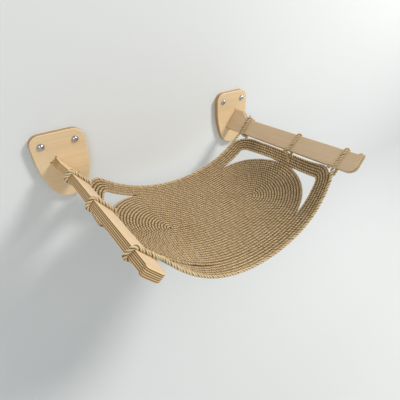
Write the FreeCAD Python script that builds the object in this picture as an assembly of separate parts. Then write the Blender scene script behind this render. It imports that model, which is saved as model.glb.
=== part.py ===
import FreeCAD, Part

import os
from math import acos, asin, cos, degrees, hypot, pi, radians, sin, tan

from FreeCAD import Vector

# A hammock of coiled rope that hangs between two plywood arms on a wall.
# Millimetres. The origin lies on the wall, midway between the arms' middle lines.
# +X runs along the wall, +Y into the wall and +Z up, so the arms reach out along -Y.

# Arms
arm_spacing = 552.0
arm_length = 468.0
arm_width = 48.5
arm_thickness = 18.0
arm_lean_angle = 54.0
arm_edge_round = 2.0
root_rise = 19.5
root_length = 54.0
root_slope_length = 27.0
horn_rise = 5.0
horn_length = 13.0
horn_slope_length = 6.0
horn_radius = 4.5
toe_radius = 22.0

# Wall plates
plate_thickness = 15.0
plate_half_width = 64.0
plate_top_height = 100.0
plate_bottom_depth = 72.0
plate_shoulder_height = 45.0
plate_corner_radius = 27.0
plate_toe_radius = 50.0
plate_offset = 3.5
plate_edge_round = 3.0
mortise_clearance = 0.15
mortise_relief_radius = 2.0

# Screws, their domed covers and the plugs in the wall
screw_spacing = 79.0
screw_top_distance = 27.0
screw_length = 60.0
screw_radius = 2.25
screw_point_length = 6.0
screw_head_radius = 4.6
screw_head_depth = 2.4
screw_hole_clearance = 0.3
cover_radius = 8.5
cover_height = 6.2
cover_stud_radius = 1.5
cover_stud_length = 4.0
cover_stud_clearance = 0.1
plug_radius = 4.0
plug_length = 40.0
plug_depth = 3.0

# Rope mat: one coil in the middle and a border laid round it
rope_diameter = 6.2
row_pitch = 7.4
coil_turns = 19
border_turns = 5
middle_run = 129.0
middle_sag_radius = 445.0
front_sag_radius = 242.0
back_sag_radius = 370.0
mat_side_hang = 21.6
mat_middle_distance = 249.0
mat_middle_offset = 4.0
mat_dip_angle = 11.6
mat_skew_angle = 6.0
mat_tilt_angle = 0.8
mat_front_twist_angle = 2.6
front_corner_run = 256.0
front_corner_depth = 109.0
back_corner_run = 224.0
back_corner_depth = 133.0
corner_radius = 14.0
shoulder_share = 0.33

# Edge ropes along the mat's front and back, whose ends go round the arms and into the
# mat's corners, and the ties that hold the middle of the mat's sides to the arms
edge_gap = 0.8
lash_gap = 0.5
lash_bend_radius = 6.0
leave_run = 17.0
leave_bend_radius = 14.0
tuck_gap = 0.3
tie_rim_inset = 5.0
tie_inset = 20.0
tie_run = 7.5
tuck_angles = {"front_left": 62.0, "front_right": 45.0, "back_left": 30.0, "back_right": 45.0}
tuck_runs = {"front_left": 17.0, "front_right": 17.0, "back_left": 26.0, "back_right": 17.0}
edge_stations = {
    "front_left": [415.0, 417.0, 412.0, 409.0],
    "front_right": [420.0, 427.0, 425.0, 420.0],
    "back_left": [82.0, 85.5, 87.5, 88.5, 90.5, 94.0, 96.5, 97.5],
    "back_right": [87.0, 91.0, 92.0, 93.0, 95.0, 99.0, 100.0, 101.0],
}
tie_stations = {"left": [240.0, 236.0, 240.0, 244.0], "right": [279.0, 288.0, 284.0, 280.0]}

# How finely tangents and the rope's own gap are measured, and how little turn counts as straight
probe = 0.01
straight_share = 1e-9
sample_step = 4.0

LEFT = -1
RIGHT = 1
SIDE_NAMES = {LEFT: "left", RIGHT: "right"}
FRONT = 1
BACK = -1
END_NAMES = {FRONT: "front", BACK: "back"}


def save(shape, name):
    """Write one piece to its own file."""
    shape.exportStep(f"parts/{name}.step")


def arc_from(start, tangent, end):
    """Return the arc that leaves start along tangent and reaches end."""
    chord = end - start
    along = chord * (1 / chord.Length)
    across = tangent - along * tangent.dot(along)
    if across.Length < straight_share:
        return Part.LineSegment(start, end).toShape()
    across.normalize()
    half_turn = acos(max(-1, min(1, tangent.dot(along))))
    middle = (start + end) * 0.5 + across * (chord.Length / 2 * tan(half_turn / 2))
    return Part.Arc(start, middle, end).toShape()


def biarc(first, second, near, near_first=False):
    """Return two arcs that join two (point, tangent) ends.

    near is the tangent length of the arc at the second end, or of the one at the first end
    where near_first is set.
    """
    (start, start_way), (end, end_way) = first, second
    if near_first:
        here, here_way, there, there_way = end, end_way * -1, start, start_way * -1
    else:
        here, here_way, there, there_way = start, start_way, end, end_way
    chord = there - here
    far = (chord.dot(chord) - 2 * near * chord.dot(there_way)) / (
        2 * (chord.dot(here_way) + near * (1 - here_way.dot(there_way)))
    )
    meeting = ((here + here_way * far) * near + (there - there_way * near) * far) * (
        1 / (near + far)
    )
    chord = meeting - start
    along = chord * (1 / chord.Length)
    meeting_way = along * (2 * start_way.dot(along)) - start_way
    return [arc_from(start, start_way, meeting), arc_from(meeting, meeting_way, end)]


def even_biarc(first, second):
    """Return two arcs of like length that join two (point, tangent) ends."""
    return biarc(first, second, (second[0] - first[0]).Length / 4)


def tube(edges, diameter):
    """Sweep a round section along joined edges."""
    path = Part.Wire(edges)
    first = path.OrderedEdges[0]
    start = first.valueAt(first.FirstParameter)
    way = first.tangentAt(first.FirstParameter)
    section = Part.Wire(Part.Circle(start, way, diameter / 2).toShape())
    shell = Part.BRepOffsetAPI.MakePipeShell(path)
    shell.add(section)
    shell.build()
    shell.makeSolid()
    solid = shell.shape()
    swept = path.Length * pi * diameter**2 / 4
    return solid, path.Length, solid.Volume / swept


def points_along(edges):
    """Return points on the edges, one every sample step or closer."""
    points = []
    for edge in edges:
        count = max(2, int(edge.Length / sample_step))
        first, last = edge.FirstParameter, edge.LastParameter
        points += [edge.valueAt(first + (last - first) * i / count) for i in range(count)]
    points.append(edges[-1].valueAt(edges[-1].LastParameter))
    return points


def least_gap(edges, diameter):
    """Return the least gap between a tube and its own neighbouring turns."""
    points = points_along(edges)
    cell = 2 * row_pitch
    travelled = [0]
    cells = {}
    for before, after in zip(points, points[1:]):
        travelled.append(travelled[-1] + (after - before).Length)
    for index, point in enumerate(points):
        key = tuple(int(value // cell) for value in point)
        cells.setdefault(key, []).append(index)
    least = arm_spacing
    near_cells = [(i, j, k) for i in (-1, 0, 1) for j in (-1, 0, 1) for k in (-1, 0, 1)]
    for index, point in enumerate(points):
        x, y, z = (int(value // cell) for value in point)
        for i, j, k in near_cells:
            for other in cells.get((x + i, y + j, z + k), ()):
                if other + 1 == len(points) or travelled[other] - travelled[index] < 3 * diameter:
                    continue
                run = points[other + 1] - points[other]
                share = max(0, min(1, (point - points[other]).dot(run) / run.dot(run)))
                least = min(least, (point - points[other] - run * share).Length)
    return least - diameter


def rounded_path(points, radii):
    """Return edges along points, straight but for an arc of the next radius at each inner point."""
    edges = []
    start = points[0]
    for before, corner, after, radius in zip(points, points[1:], points[2:], radii):
        inward = (corner - before) * (1 / (corner - before).Length)
        outward = (after - corner) * (1 / (after - corner).Length)
        turn = acos(max(-1, min(1, inward.dot(outward))))
        cut = radius * tan(turn / 2)
        arc_start = corner - inward * cut
        arc_end = corner + outward * cut
        edges.append(Part.LineSegment(start, arc_start).toShape())
        edges.append(arc_from(arc_start, inward, arc_end))
        start = arc_end
    edges.append(Part.LineSegment(start, points[-1]).toShape())
    return edges


def arm_point(side, out, across, face):
    """Place a point of an arm: out from the wall, across the board and off its middle plane.

    across grows towards the board's lower edge, and face towards the mat.
    """
    lean = radians(arm_lean_angle)
    x = side * (arm_spacing / 2 - across * cos(lean) - face * sin(lean))
    return Vector(x, -out, -across * sin(lean) + face * cos(lean))


def arm_outline():
    """Return the arm's outline as pieces: (out, across) points, two for a line, three for an arc."""
    low = arm_width / 2
    high = -arm_width / 2
    horn = high - horn_rise
    root = high - root_rise
    toe = arm_length - toe_radius
    slope_end = root_length + root_slope_length
    horn_start = arm_length - horn_length
    diagonal = 1 - cos(radians(45))
    return [
        [(0, low), (toe, low)],
        [
            (toe, low),
            (arm_length - toe_radius * diagonal, low - toe_radius * diagonal),
            (arm_length, low - toe_radius),
        ],
        [(arm_length, low - toe_radius), (arm_length, horn + horn_radius)],
        [
            (arm_length, horn + horn_radius),
            (arm_length - horn_radius * diagonal, horn + horn_radius * diagonal),
            (arm_length - horn_radius, horn),
        ],
        [(arm_length - horn_radius, horn), (horn_start + horn_slope_length, horn)],
        [(horn_start + horn_slope_length, horn), (horn_start, high)],
        [(horn_start, high), (slope_end, high)],
        [(slope_end, high), (root_length, root)],
        [(root_length, root), (0, root)],
        [(0, root), (0, low)],
    ]


def arm(side):
    """Return one arm, with its root at full width as far as the wall."""
    edges = []
    for piece in arm_outline():
        points = [arm_point(side, out, across, -arm_thickness / 2) for out, across in piece]
        if len(points) == 3:
            edges.append(Part.Arc(*points).toShape())
        else:
            edges.append(Part.LineSegment(*points).toShape())
    through = arm_point(side, 0, 0, arm_thickness) - arm_point(side, 0, 0, 0)
    board = Part.Face(Part.Wire(edges)).extrude(through)
    eased = [
        edge
        for edge in board.Edges
        if abs(edge.tangentAt(edge.FirstParameter).dot(through)) < probe
        and any(vertex.Point.y < -probe for vertex in edge.Vertexes)
    ]
    return board.makeFillet(arm_edge_round, eased)


def mortise(side):
    """Return the space that the arm's root takes in its plate, with relieved corners."""
    low = arm_width / 2 + mortise_clearance
    high = -arm_width / 2 - root_rise - mortise_clearance
    face = arm_thickness / 2 + mortise_clearance
    corners = [(low, face), (high, face), (high, -face), (low, -face)]
    points = [arm_point(side, -plate_thickness, across, off) for across, off in corners]
    reach = Vector(0, -3 * plate_thickness, 0)
    space = Part.Face(Part.makePolygon(points + points[:1])).extrude(reach)
    reliefs = [Part.makeCylinder(mortise_relief_radius, reach.Length, point, reach) for point in points]
    return space.multiFuse(reliefs)


def plate_outline(side):
    """Return the edges of a wall plate's back, on the wall."""
    middle = side * (arm_spacing / 2 + plate_offset)
    toe_height = plate_toe_radius - plate_bottom_depth
    drop = plate_shoulder_height - toe_height
    side_radius = (plate_half_width**2 + drop**2 - plate_toe_radius**2) / (
        2 * (plate_half_width - plate_toe_radius)
    )
    turn = asin(drop / (side_radius - plate_toe_radius))
    side_middle = plate_half_width - side_radius

    def point(x, z):
        return Vector(middle + x, 0, z)

    def side_point(angle, way):
        x = side_middle + side_radius * cos(angle)
        return point(way * x, plate_shoulder_height - side_radius * sin(angle))

    top = plate_top_height
    corner_x = plate_half_width - plate_corner_radius
    corner_z = top - plate_corner_radius
    diagonal = plate_corner_radius * cos(radians(45))
    bottom = point(0, -plate_bottom_depth)
    edges = [
        Part.LineSegment(point(-corner_x, top), point(corner_x, top)).toShape(),
        Part.Arc(side_point(turn, RIGHT), bottom, side_point(turn, LEFT)).toShape(),
    ]
    for way in (LEFT, RIGHT):
        high = point(way * plate_half_width, corner_z)
        low = point(way * plate_half_width, plate_shoulder_height)
        over = point(way * (corner_x + diagonal), corner_z + diagonal)
        edges.append(Part.Arc(point(way * corner_x, top), over, high).toShape())
        edges.append(Part.LineSegment(high, low).toShape())
        edges.append(Part.Arc(low, side_point(turn / 2, way), side_point(turn, way)).toShape())
    return Part.__sortEdges__(edges)


def screw_places(side):
    """Return the (x, z) places of a plate's two screws, the outer one first."""
    middle = side * (arm_spacing / 2 + plate_offset)
    height = plate_top_height - screw_top_distance
    return [
        (middle + side * screw_spacing / 2, height),
        (middle - side * screw_spacing / 2, height),
    ]


def wall_plate(side):
    """Return one wall plate with its mortise and its two countersunk screw holes."""
    blank = Part.Face(Part.Wire(plate_outline(side))).extrude(Vector(0, -plate_thickness, 0))
    front_edges = [
        edge
        for edge in blank.Edges
        if all(abs(vertex.Point.y + plate_thickness) < probe for vertex in edge.Vertexes)
    ]
    plate = blank.makeFillet(plate_edge_round, front_edges).cut(mortise(side))
    for x, z in screw_places(side):
        plate = plate.cut(screw_hole(x, z))
    return plate


def screw_hole(x, z):
    """Return the space of a countersunk screw hole through a plate."""
    into = Vector(0, 1, 0)
    mouth = Vector(x, -plate_thickness, z)
    bore = Part.makeCylinder(screw_radius + screw_hole_clearance, plate_thickness, mouth, into)
    sink = Part.makeCone(
        screw_head_radius,
        screw_radius,
        screw_head_depth,
        mouth,
        into,
    )
    return bore.fuse(sink)


def screw(x, z):
    """Return a countersunk screw, its head hollow for the cover's stud."""
    into = Vector(0, 1, 0)
    top = Vector(x, -plate_thickness, z)
    shank_length = screw_length - screw_point_length
    head = Part.makeCone(screw_head_radius, screw_radius, screw_head_depth, top, into)
    shank = Part.makeCylinder(screw_radius, shank_length, top, into)
    point = Part.makeCone(screw_radius, 0, screw_point_length, top + into * shank_length, into)
    socket = Part.makeCylinder(
        cover_stud_radius + cover_stud_clearance, cover_stud_length + cover_stud_clearance, top, into
    )
    return head.fuse(shank).fuse(point).cut(socket).removeSplitter()


def cover(x, z):
    """Return the domed cover that sits over a screw's head on a stud."""
    into = Vector(0, 1, 0)
    seat = Vector(x, -plate_thickness, z)
    dome_radius = (cover_radius**2 + cover_height**2) / (2 * cover_height)
    ball = Part.makeSphere(dome_radius, seat + into * (dome_radius - cover_height))
    block = Part.makeCylinder(cover_radius, cover_height, seat, into * -1)
    stud = Part.makeCylinder(cover_stud_radius, cover_stud_length, seat, into)
    return ball.common(block).fuse(stud).removeSplitter()


def wall_plug(x, z):
    """Return the plug that grips a screw inside the wall."""
    into = Vector(0, 1, 0)
    mouth = Vector(x, plug_depth, z)
    body = Part.makeCylinder(plug_radius, plug_length, mouth, into)
    return body.cut(Part.makeCylinder(screw_radius, plug_length, mouth, into))


def depth_share(depth):
    """Return a depth, positive to the front, as a share of the way to the border's edge."""
    return depth / ((coil_turns + border_turns) * row_pitch)


def sag(depth):
    """Return the curvature of the mat's sag at a depth."""
    share = depth_share(depth)
    middle, front, back = 1 / middle_sag_radius, 1 / front_sag_radius, 1 / back_sag_radius
    return middle + (front - back) / 2 * share + ((front + back) / 2 - middle) * share**2


def mat_drop():
    """Return how far the mat's middle lies down, for its sides to hang a little below the arms."""
    lean = radians(arm_lean_angle)
    arm_low = arm_width / 2 * sin(lean) + arm_thickness / 2 * cos(lean)
    side_run = middle_run + (coil_turns + border_turns) * row_pitch
    return mat_side_hang + arm_low + middle_sag_radius * (1 - cos(side_run / middle_sag_radius))


def mat_point(run, depth):
    """Place a point of the mat: run along the sag to the right, depth to the front."""
    curvature = sag(depth)
    dip = radians(mat_dip_angle)
    across = sin(curvature * run) / curvature
    tilt = mat_tilt_angle + mat_front_twist_angle * ((1 + depth_share(depth)) / 2) ** 2
    rise = (1 - cos(curvature * run)) / curvature + across * tan(radians(tilt))
    forward = depth * cos(dip) + across * tan(radians(mat_skew_angle))
    height = rise - mat_drop() - depth * sin(dip)
    return Vector(mat_middle_offset + across, -mat_middle_distance - forward, height)


def mat_way(run, depth, run_step, depth_step):
    """Return the direction on the mat of a step of the given run and depth."""
    step = mat_point(run + run_step * probe, depth + depth_step * probe)
    step -= mat_point(run - run_step * probe, depth - depth_step * probe)
    step.normalize()
    return step


def mat_up(run, depth):
    """Return the mat's upward normal."""
    return mat_way(run, depth, 0, -1).cross(mat_way(run, depth, 1, 0)) * -1


def quarter_offset(quarter):
    """Return how far the rope lies off the coil's middle line after some quarter turns."""
    return row_pitch * (quarter + 1) / 4


def quarter_place(quarter, offset=None):
    """Return a rope's (point, tangent) at the middle of the front, right, back or left side."""
    offset = quarter_offset(quarter) if offset is None else offset
    run, depth, run_step, depth_step = [
        (0, offset, 1, 0),
        (middle_run + offset, 0, 0, -1),
        (0, -offset, -1, 0),
        (-middle_run - offset, 0, 0, 1),
    ][quarter % 4]
    return mat_point(run, depth), mat_way(run, depth, run_step, depth_step)


def straight_end(place, way):
    """Return a straight run of one rope diameter that starts or ends at a place, and its far end."""
    point, tangent = place
    far = point + tangent * (way * rope_diameter)
    ends = (point, far) if way > 0 else (far, point)
    return Part.LineSegment(*ends).toShape(), (far, tangent)


def coil_edges():
    """Return the path of the coil: long runs across the mat and round ends."""
    first = mat_point(-middle_run, 0), mat_way(-middle_run, 0, 1, 0)
    run, begin = straight_end(first, 1)
    last_run, finish = straight_end(quarter_place(4 * coil_turns), -1)
    edges = [run] + even_biarc(begin, quarter_place(0))
    for quarter in range(4 * coil_turns):
        to_side = quarter % 2 == 0
        near = quarter_offset(quarter + 1 if to_side else quarter)
        after = finish if quarter + 1 == 4 * coil_turns else quarter_place(quarter + 1)
        edges += biarc(quarter_place(quarter), after, near, not to_side)
    return edges + [last_run]


def corner_centre(side, end):
    """Return the (run, depth) that a corner of the border turns about."""
    if end == FRONT:
        return side * front_corner_run, front_corner_depth
    return side * back_corner_run, -back_corner_depth


def corner_spot(side, end, offset, angle):
    """Return the (run, depth) of a rope on a corner, and its radius there.

    angle is measured at the corner's centre, from the side that faces the arm.
    """
    run, depth = corner_centre(side, end)
    radius = corner_radius + offset - quarter_offset(4 * coil_turns)
    run += side * radius * cos(radians(angle))
    depth += end * radius * sin(radians(angle))
    return run, depth, radius


def corner_place(side, end, offset, way, angle=45):
    """Return a rope's (point, tangent) on a corner, and its tangent length to where the turn ends.

    way is 1 where the rope runs towards the arm from the front or back, and -1 where it comes
    from the arm.
    """
    run, depth, radius = corner_spot(side, end, offset, angle)
    tangent = mat_way(run, depth, way * side * sin(radians(angle)), -way * end * cos(radians(angle)))
    return (mat_point(run, depth), tangent), radius * tan(radians((90 - angle) / 2))


def shoulder_place(side, end, offset, way):
    """Return a rope's (point, tangent) on the front or back, level with the middle line's end."""
    run, depth = side * middle_run, end * offset
    return mat_point(run, depth), mat_way(run, depth, way * side, 0)


def border_edges():
    """Return the path of the border: out to four corners and back beside the coil.

    It starts where the coil ends and is tucked away under the left arm.
    """
    corners = [(RIGHT, FRONT, 1), (RIGHT, BACK, -1), (LEFT, BACK, 1), (LEFT, FRONT, -1)]
    first, last = 4 * coil_turns, 4 * (coil_turns + border_turns) - 1
    run, start = straight_end(quarter_place(first), 1)
    last_run, finish = straight_end(quarter_place(last), -1)
    edges = [run]
    for quarter in range(first, last):
        side, end, way = corners[quarter % 4]
        corner, near = corner_place(side, end, quarter_offset(quarter + 0.5), way)
        before = start if quarter == first else quarter_place(quarter)
        after = finish if quarter + 1 == last else quarter_place(quarter + 1)
        if way > 0:
            shoulder = shoulder_place(side, end, quarter_offset(quarter + shoulder_share), way)
            edges += even_biarc(before, shoulder) + biarc(shoulder, corner, near)
            edges += biarc(corner, after, near, True)
        else:
            shoulder = shoulder_place(side, end, quarter_offset(quarter + 1 - shoulder_share), way)
            edges += biarc(before, corner, near) + biarc(corner, shoulder, near, True)
            edges += even_biarc(shoulder, after)
    return edges + [last_run]


def lash_corners(side, stations):
    """Return where a rope bends round the arm's long edges, from the inner face's lower edge."""
    off = rope_diameter / 2 + lash_gap
    across, face = arm_width / 2 + off, arm_thickness / 2 + off
    ways = [(1, 1), (-1, 1), (-1, -1), (1, -1)]
    points = []
    for index, station in enumerate(stations):
        across_way, face_way = ways[index % 4]
        points.append(arm_point(side, station, across_way * across, face_way * face))
    return points


def beside_quarter(side, end):
    """Return how many quarter turns on the border's outermost row turns at a corner."""
    last = 4 * (coil_turns + border_turns) - 1
    quarters = {(FRONT, LEFT): last - 3, (FRONT, RIGHT): last - 2, (BACK, RIGHT): last - 1, (BACK, LEFT): last}
    return quarters[end, side] - 0.5


def to_middle(side, end):
    """Return 1 where the outermost row comes to the middle after the corner, and -1 if before."""
    return RIGHT if side * end == LEFT else LEFT


def edge_leave(side, end):
    """Return an edge rope's place at its shoulder and its run from there until it leaves the mat."""
    quarter = beside_quarter(side, end)
    to_shoulder = (0.5 - shoulder_share) * to_middle(side, end)
    space = rope_diameter + edge_gap
    corner, near = corner_place(side, end, quarter_offset(quarter) + space, 1)
    shoulder = shoulder_place(side, end, quarter_offset(quarter + to_shoulder) + space, 1)
    return shoulder, biarc(shoulder, corner, near)[0]


def edge_lashing(side, end):
    """Return the path from where the rope leaves the mat round the arm and back under a corner."""
    name = f"{END_NAMES[end]}_{SIDE_NAMES[side]}"
    run_edge = edge_leave(side, end)[1]
    point = run_edge.valueAt(run_edge.LastParameter)
    tangent = run_edge.tangentAt(run_edge.LastParameter)
    row = quarter_offset(beside_quarter(side, end))
    run, depth, _ = corner_spot(side, end, row, tuck_angles[name])
    under = mat_up(run, depth) * -1
    tuck = mat_point(run, depth) + under * (rope_diameter / 2 + tuck_gap)
    points = [point, point + tangent * leave_run] + lash_corners(side, edge_stations[name])
    points += [tuck + under * tuck_runs[name], tuck]
    radii = [leave_bend_radius] + [lash_bend_radius] * len(points)
    return rounded_path(points, radii)


def edge_rope(end):
    """Return the path of the rope along the mat's front or back, with its lashings on both arms."""
    edges = []
    for side in (LEFT, RIGHT):
        offset = quarter_offset(beside_quarter(side, end) + to_middle(side, end) / 2)
        depth = end * (offset + rope_diameter + edge_gap)
        middle = mat_point(0, depth), mat_way(0, depth, 1, 0)
        (point, tangent), run = edge_leave(side, end)
        if side == LEFT:
            lashing = [backwards(edge) for edge in reversed(edge_lashing(side, end))]
            edges += lashing + [backwards(run)] + even_biarc((point, tangent * -1), middle)
        else:
            edges += even_biarc(middle, (point, tangent)) + [run] + edge_lashing(side, end)
    return edges


def backwards(edge):
    """Return an edge run the other way."""
    first, last = edge.FirstParameter, edge.LastParameter
    points = [edge.valueAt(last), edge.valueAt((first + last) / 2), edge.valueAt(first)]
    if isinstance(edge.Curve, Part.Line):
        return Part.LineSegment(points[0], points[2]).toShape()
    return Part.Arc(*points).toShape()


def side_tie(side):
    """Return the path of the tie that holds the middle of the mat's side to the arm."""
    stations = tie_stations[SIDE_NAMES[side]]
    last = 4 * (coil_turns + border_turns) - 1
    rim = middle_run + quarter_offset(last - 2 if side == RIGHT else last)
    outer = side * (rim - tie_rim_inset)
    inner = outer - side * tie_inset
    ends = []
    for run in (inner, outer):
        across = sin(sag(0) * run) / sag(0)
        skew = across * tan(radians(mat_skew_angle))
        depth = (stations[0] - mat_middle_distance - skew) / cos(radians(mat_dip_angle))
        up = mat_up(run, depth)
        seat = mat_point(run, depth) + up * (rope_diameter / 2 + tuck_gap)
        ends.append([seat, seat + up * tie_run])
    (start, leave), (finish, arrive) = ends
    points = [start, leave] + lash_corners(side, stations) + [arrive, finish]
    return rounded_path(points, [lash_bend_radius] * len(points))


def rope_piece(edges, name):
    """Sweep a rope and print what its path measures."""
    solid, length, share = tube(edges, rope_diameter)
    tightest = min(edge.Curve.Radius for edge in edges if isinstance(edge.Curve, Part.Circle))
    print(
        f"{name}: {length / 1000:.2f} m of rope, volume over section times length {share:.5f},"
        f" tightest radius {tightest:.2f}, least gap to itself {least_gap(edges, rope_diameter):.2f}"
    )
    return solid


def main():
    """Build every piece and write its file."""
    os.makedirs("parts", exist_ok=True)
    for side, side_name in SIDE_NAMES.items():
        save(wall_plate(side), f"wall_plate_{side_name}")
        save(arm(side), f"arm_{side_name}")
        for place, place_name in zip(screw_places(side), ("outer", "inner")):
            save(screw(*place), f"screw_{side_name}_{place_name}")
            save(cover(*place), f"screw_cover_{side_name}_{place_name}")
            save(wall_plug(*place), f"wall_plug_{side_name}_{place_name}")
        save(rope_piece(side_tie(side), f"side_tie_{side_name}"), f"side_tie_{side_name}")
    save(rope_piece(coil_edges(), "mat_coil"), "mat_coil")
    save(rope_piece(border_edges(), "mat_border"), "mat_border")
    for end, end_name in END_NAMES.items():
        save(rope_piece(edge_rope(end), f"edge_rope_{end_name}"), f"edge_rope_{end_name}")


main()
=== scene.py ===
"""A hammock of coiled jute rope that hangs between two plywood arms on a wall.

Metres throughout. The origin lies on the wall, midway between the arms' middle lines, with +X along
the wall, +Y into it and +Z up.
"""

import logging
import math
from dataclasses import dataclass, field
from enum import Enum

import bpy
import numpy as np
from mathutils import Matrix, Vector
from mathutils.kdtree import KDTree


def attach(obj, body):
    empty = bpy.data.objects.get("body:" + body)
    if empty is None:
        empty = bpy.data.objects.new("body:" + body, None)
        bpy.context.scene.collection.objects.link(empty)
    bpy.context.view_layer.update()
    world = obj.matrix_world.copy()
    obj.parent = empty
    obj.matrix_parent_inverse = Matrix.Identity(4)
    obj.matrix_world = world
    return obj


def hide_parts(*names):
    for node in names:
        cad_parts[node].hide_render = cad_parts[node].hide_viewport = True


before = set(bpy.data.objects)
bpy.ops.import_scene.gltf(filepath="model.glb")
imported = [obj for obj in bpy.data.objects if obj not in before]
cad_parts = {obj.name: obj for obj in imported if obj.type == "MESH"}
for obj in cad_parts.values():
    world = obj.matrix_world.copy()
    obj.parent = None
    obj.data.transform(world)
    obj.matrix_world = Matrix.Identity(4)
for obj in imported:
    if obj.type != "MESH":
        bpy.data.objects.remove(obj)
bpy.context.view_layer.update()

LOG = logging.getLogger("hammock")

Colour = tuple[float, float, float, float]
Place = tuple[Vector, Vector]
Socket = bpy.types.NodeSocket

# A screen's own curve from the numbers of a colour to light
SCREEN_STEPS = 255
SCREEN_LINEAR_END = 0.04045
SCREEN_LINEAR_SLOPE = 12.92
SCREEN_OFFSET = 0.055
SCREEN_POWER = 2.4

# Where the colours lie among the sockets of a Mix node
MIX_INPUTS = (0, 6, 7)
MIX_OUTPUT = 2

# What nearly all of a noise lies between, and its middle
NOISE_LOW = 0.3
NOISE_MIDDLE = 0.5
NOISE_HIGH = 0.7


class Side(Enum):
    """The two arms, by which way they lie along the wall."""

    LEFT = -1
    RIGHT = 1


class End(Enum):
    """The mat's two long edges, by which way they lie from its middle."""

    BACK = -1
    FRONT = 1


class Cut(Enum):
    """How a plywood board lies: flat on the wall, or out from it and leaning to one side."""

    PLATE = 0
    ARM_LEFT = -1
    ARM_RIGHT = 1


@dataclass(frozen=True)
class Grain:
    """How fine a noise is, how many finer layers it has and how strong these are."""

    scale: float
    detail: float = 3.0
    rough: float = 0.5


@dataclass(frozen=True)
class Fade:
    """A smooth change from start to end, while a number goes from low to high."""

    low: float
    high: float
    start: float = 0.0
    end: float = 1.0


@dataclass(frozen=True)
class Relief:
    """How deep the bumps of a surface are, and how strongly they show."""

    depth: float
    strength: float


def tone(red: float, green: float, blue: float) -> Colour:
    """Turn a colour as seen on a screen, 0 to 255, into the light it stands for.

    Args:
        red: Red, 0 to 255.
        green: Green, 0 to 255.
        blue: Blue, 0 to 255.

    Returns:
        The linear colour with an alpha of 1.
    """
    parts = []
    for value in (red, green, blue):
        share = value / SCREEN_STEPS
        if share <= SCREEN_LINEAR_END:
            parts.append(share / SCREEN_LINEAR_SLOPE)
        else:
            parts.append(((share + SCREEN_OFFSET) / (1 + SCREEN_OFFSET)) ** SCREEN_POWER)
    return parts[0], parts[1], parts[2], 1.0


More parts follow.
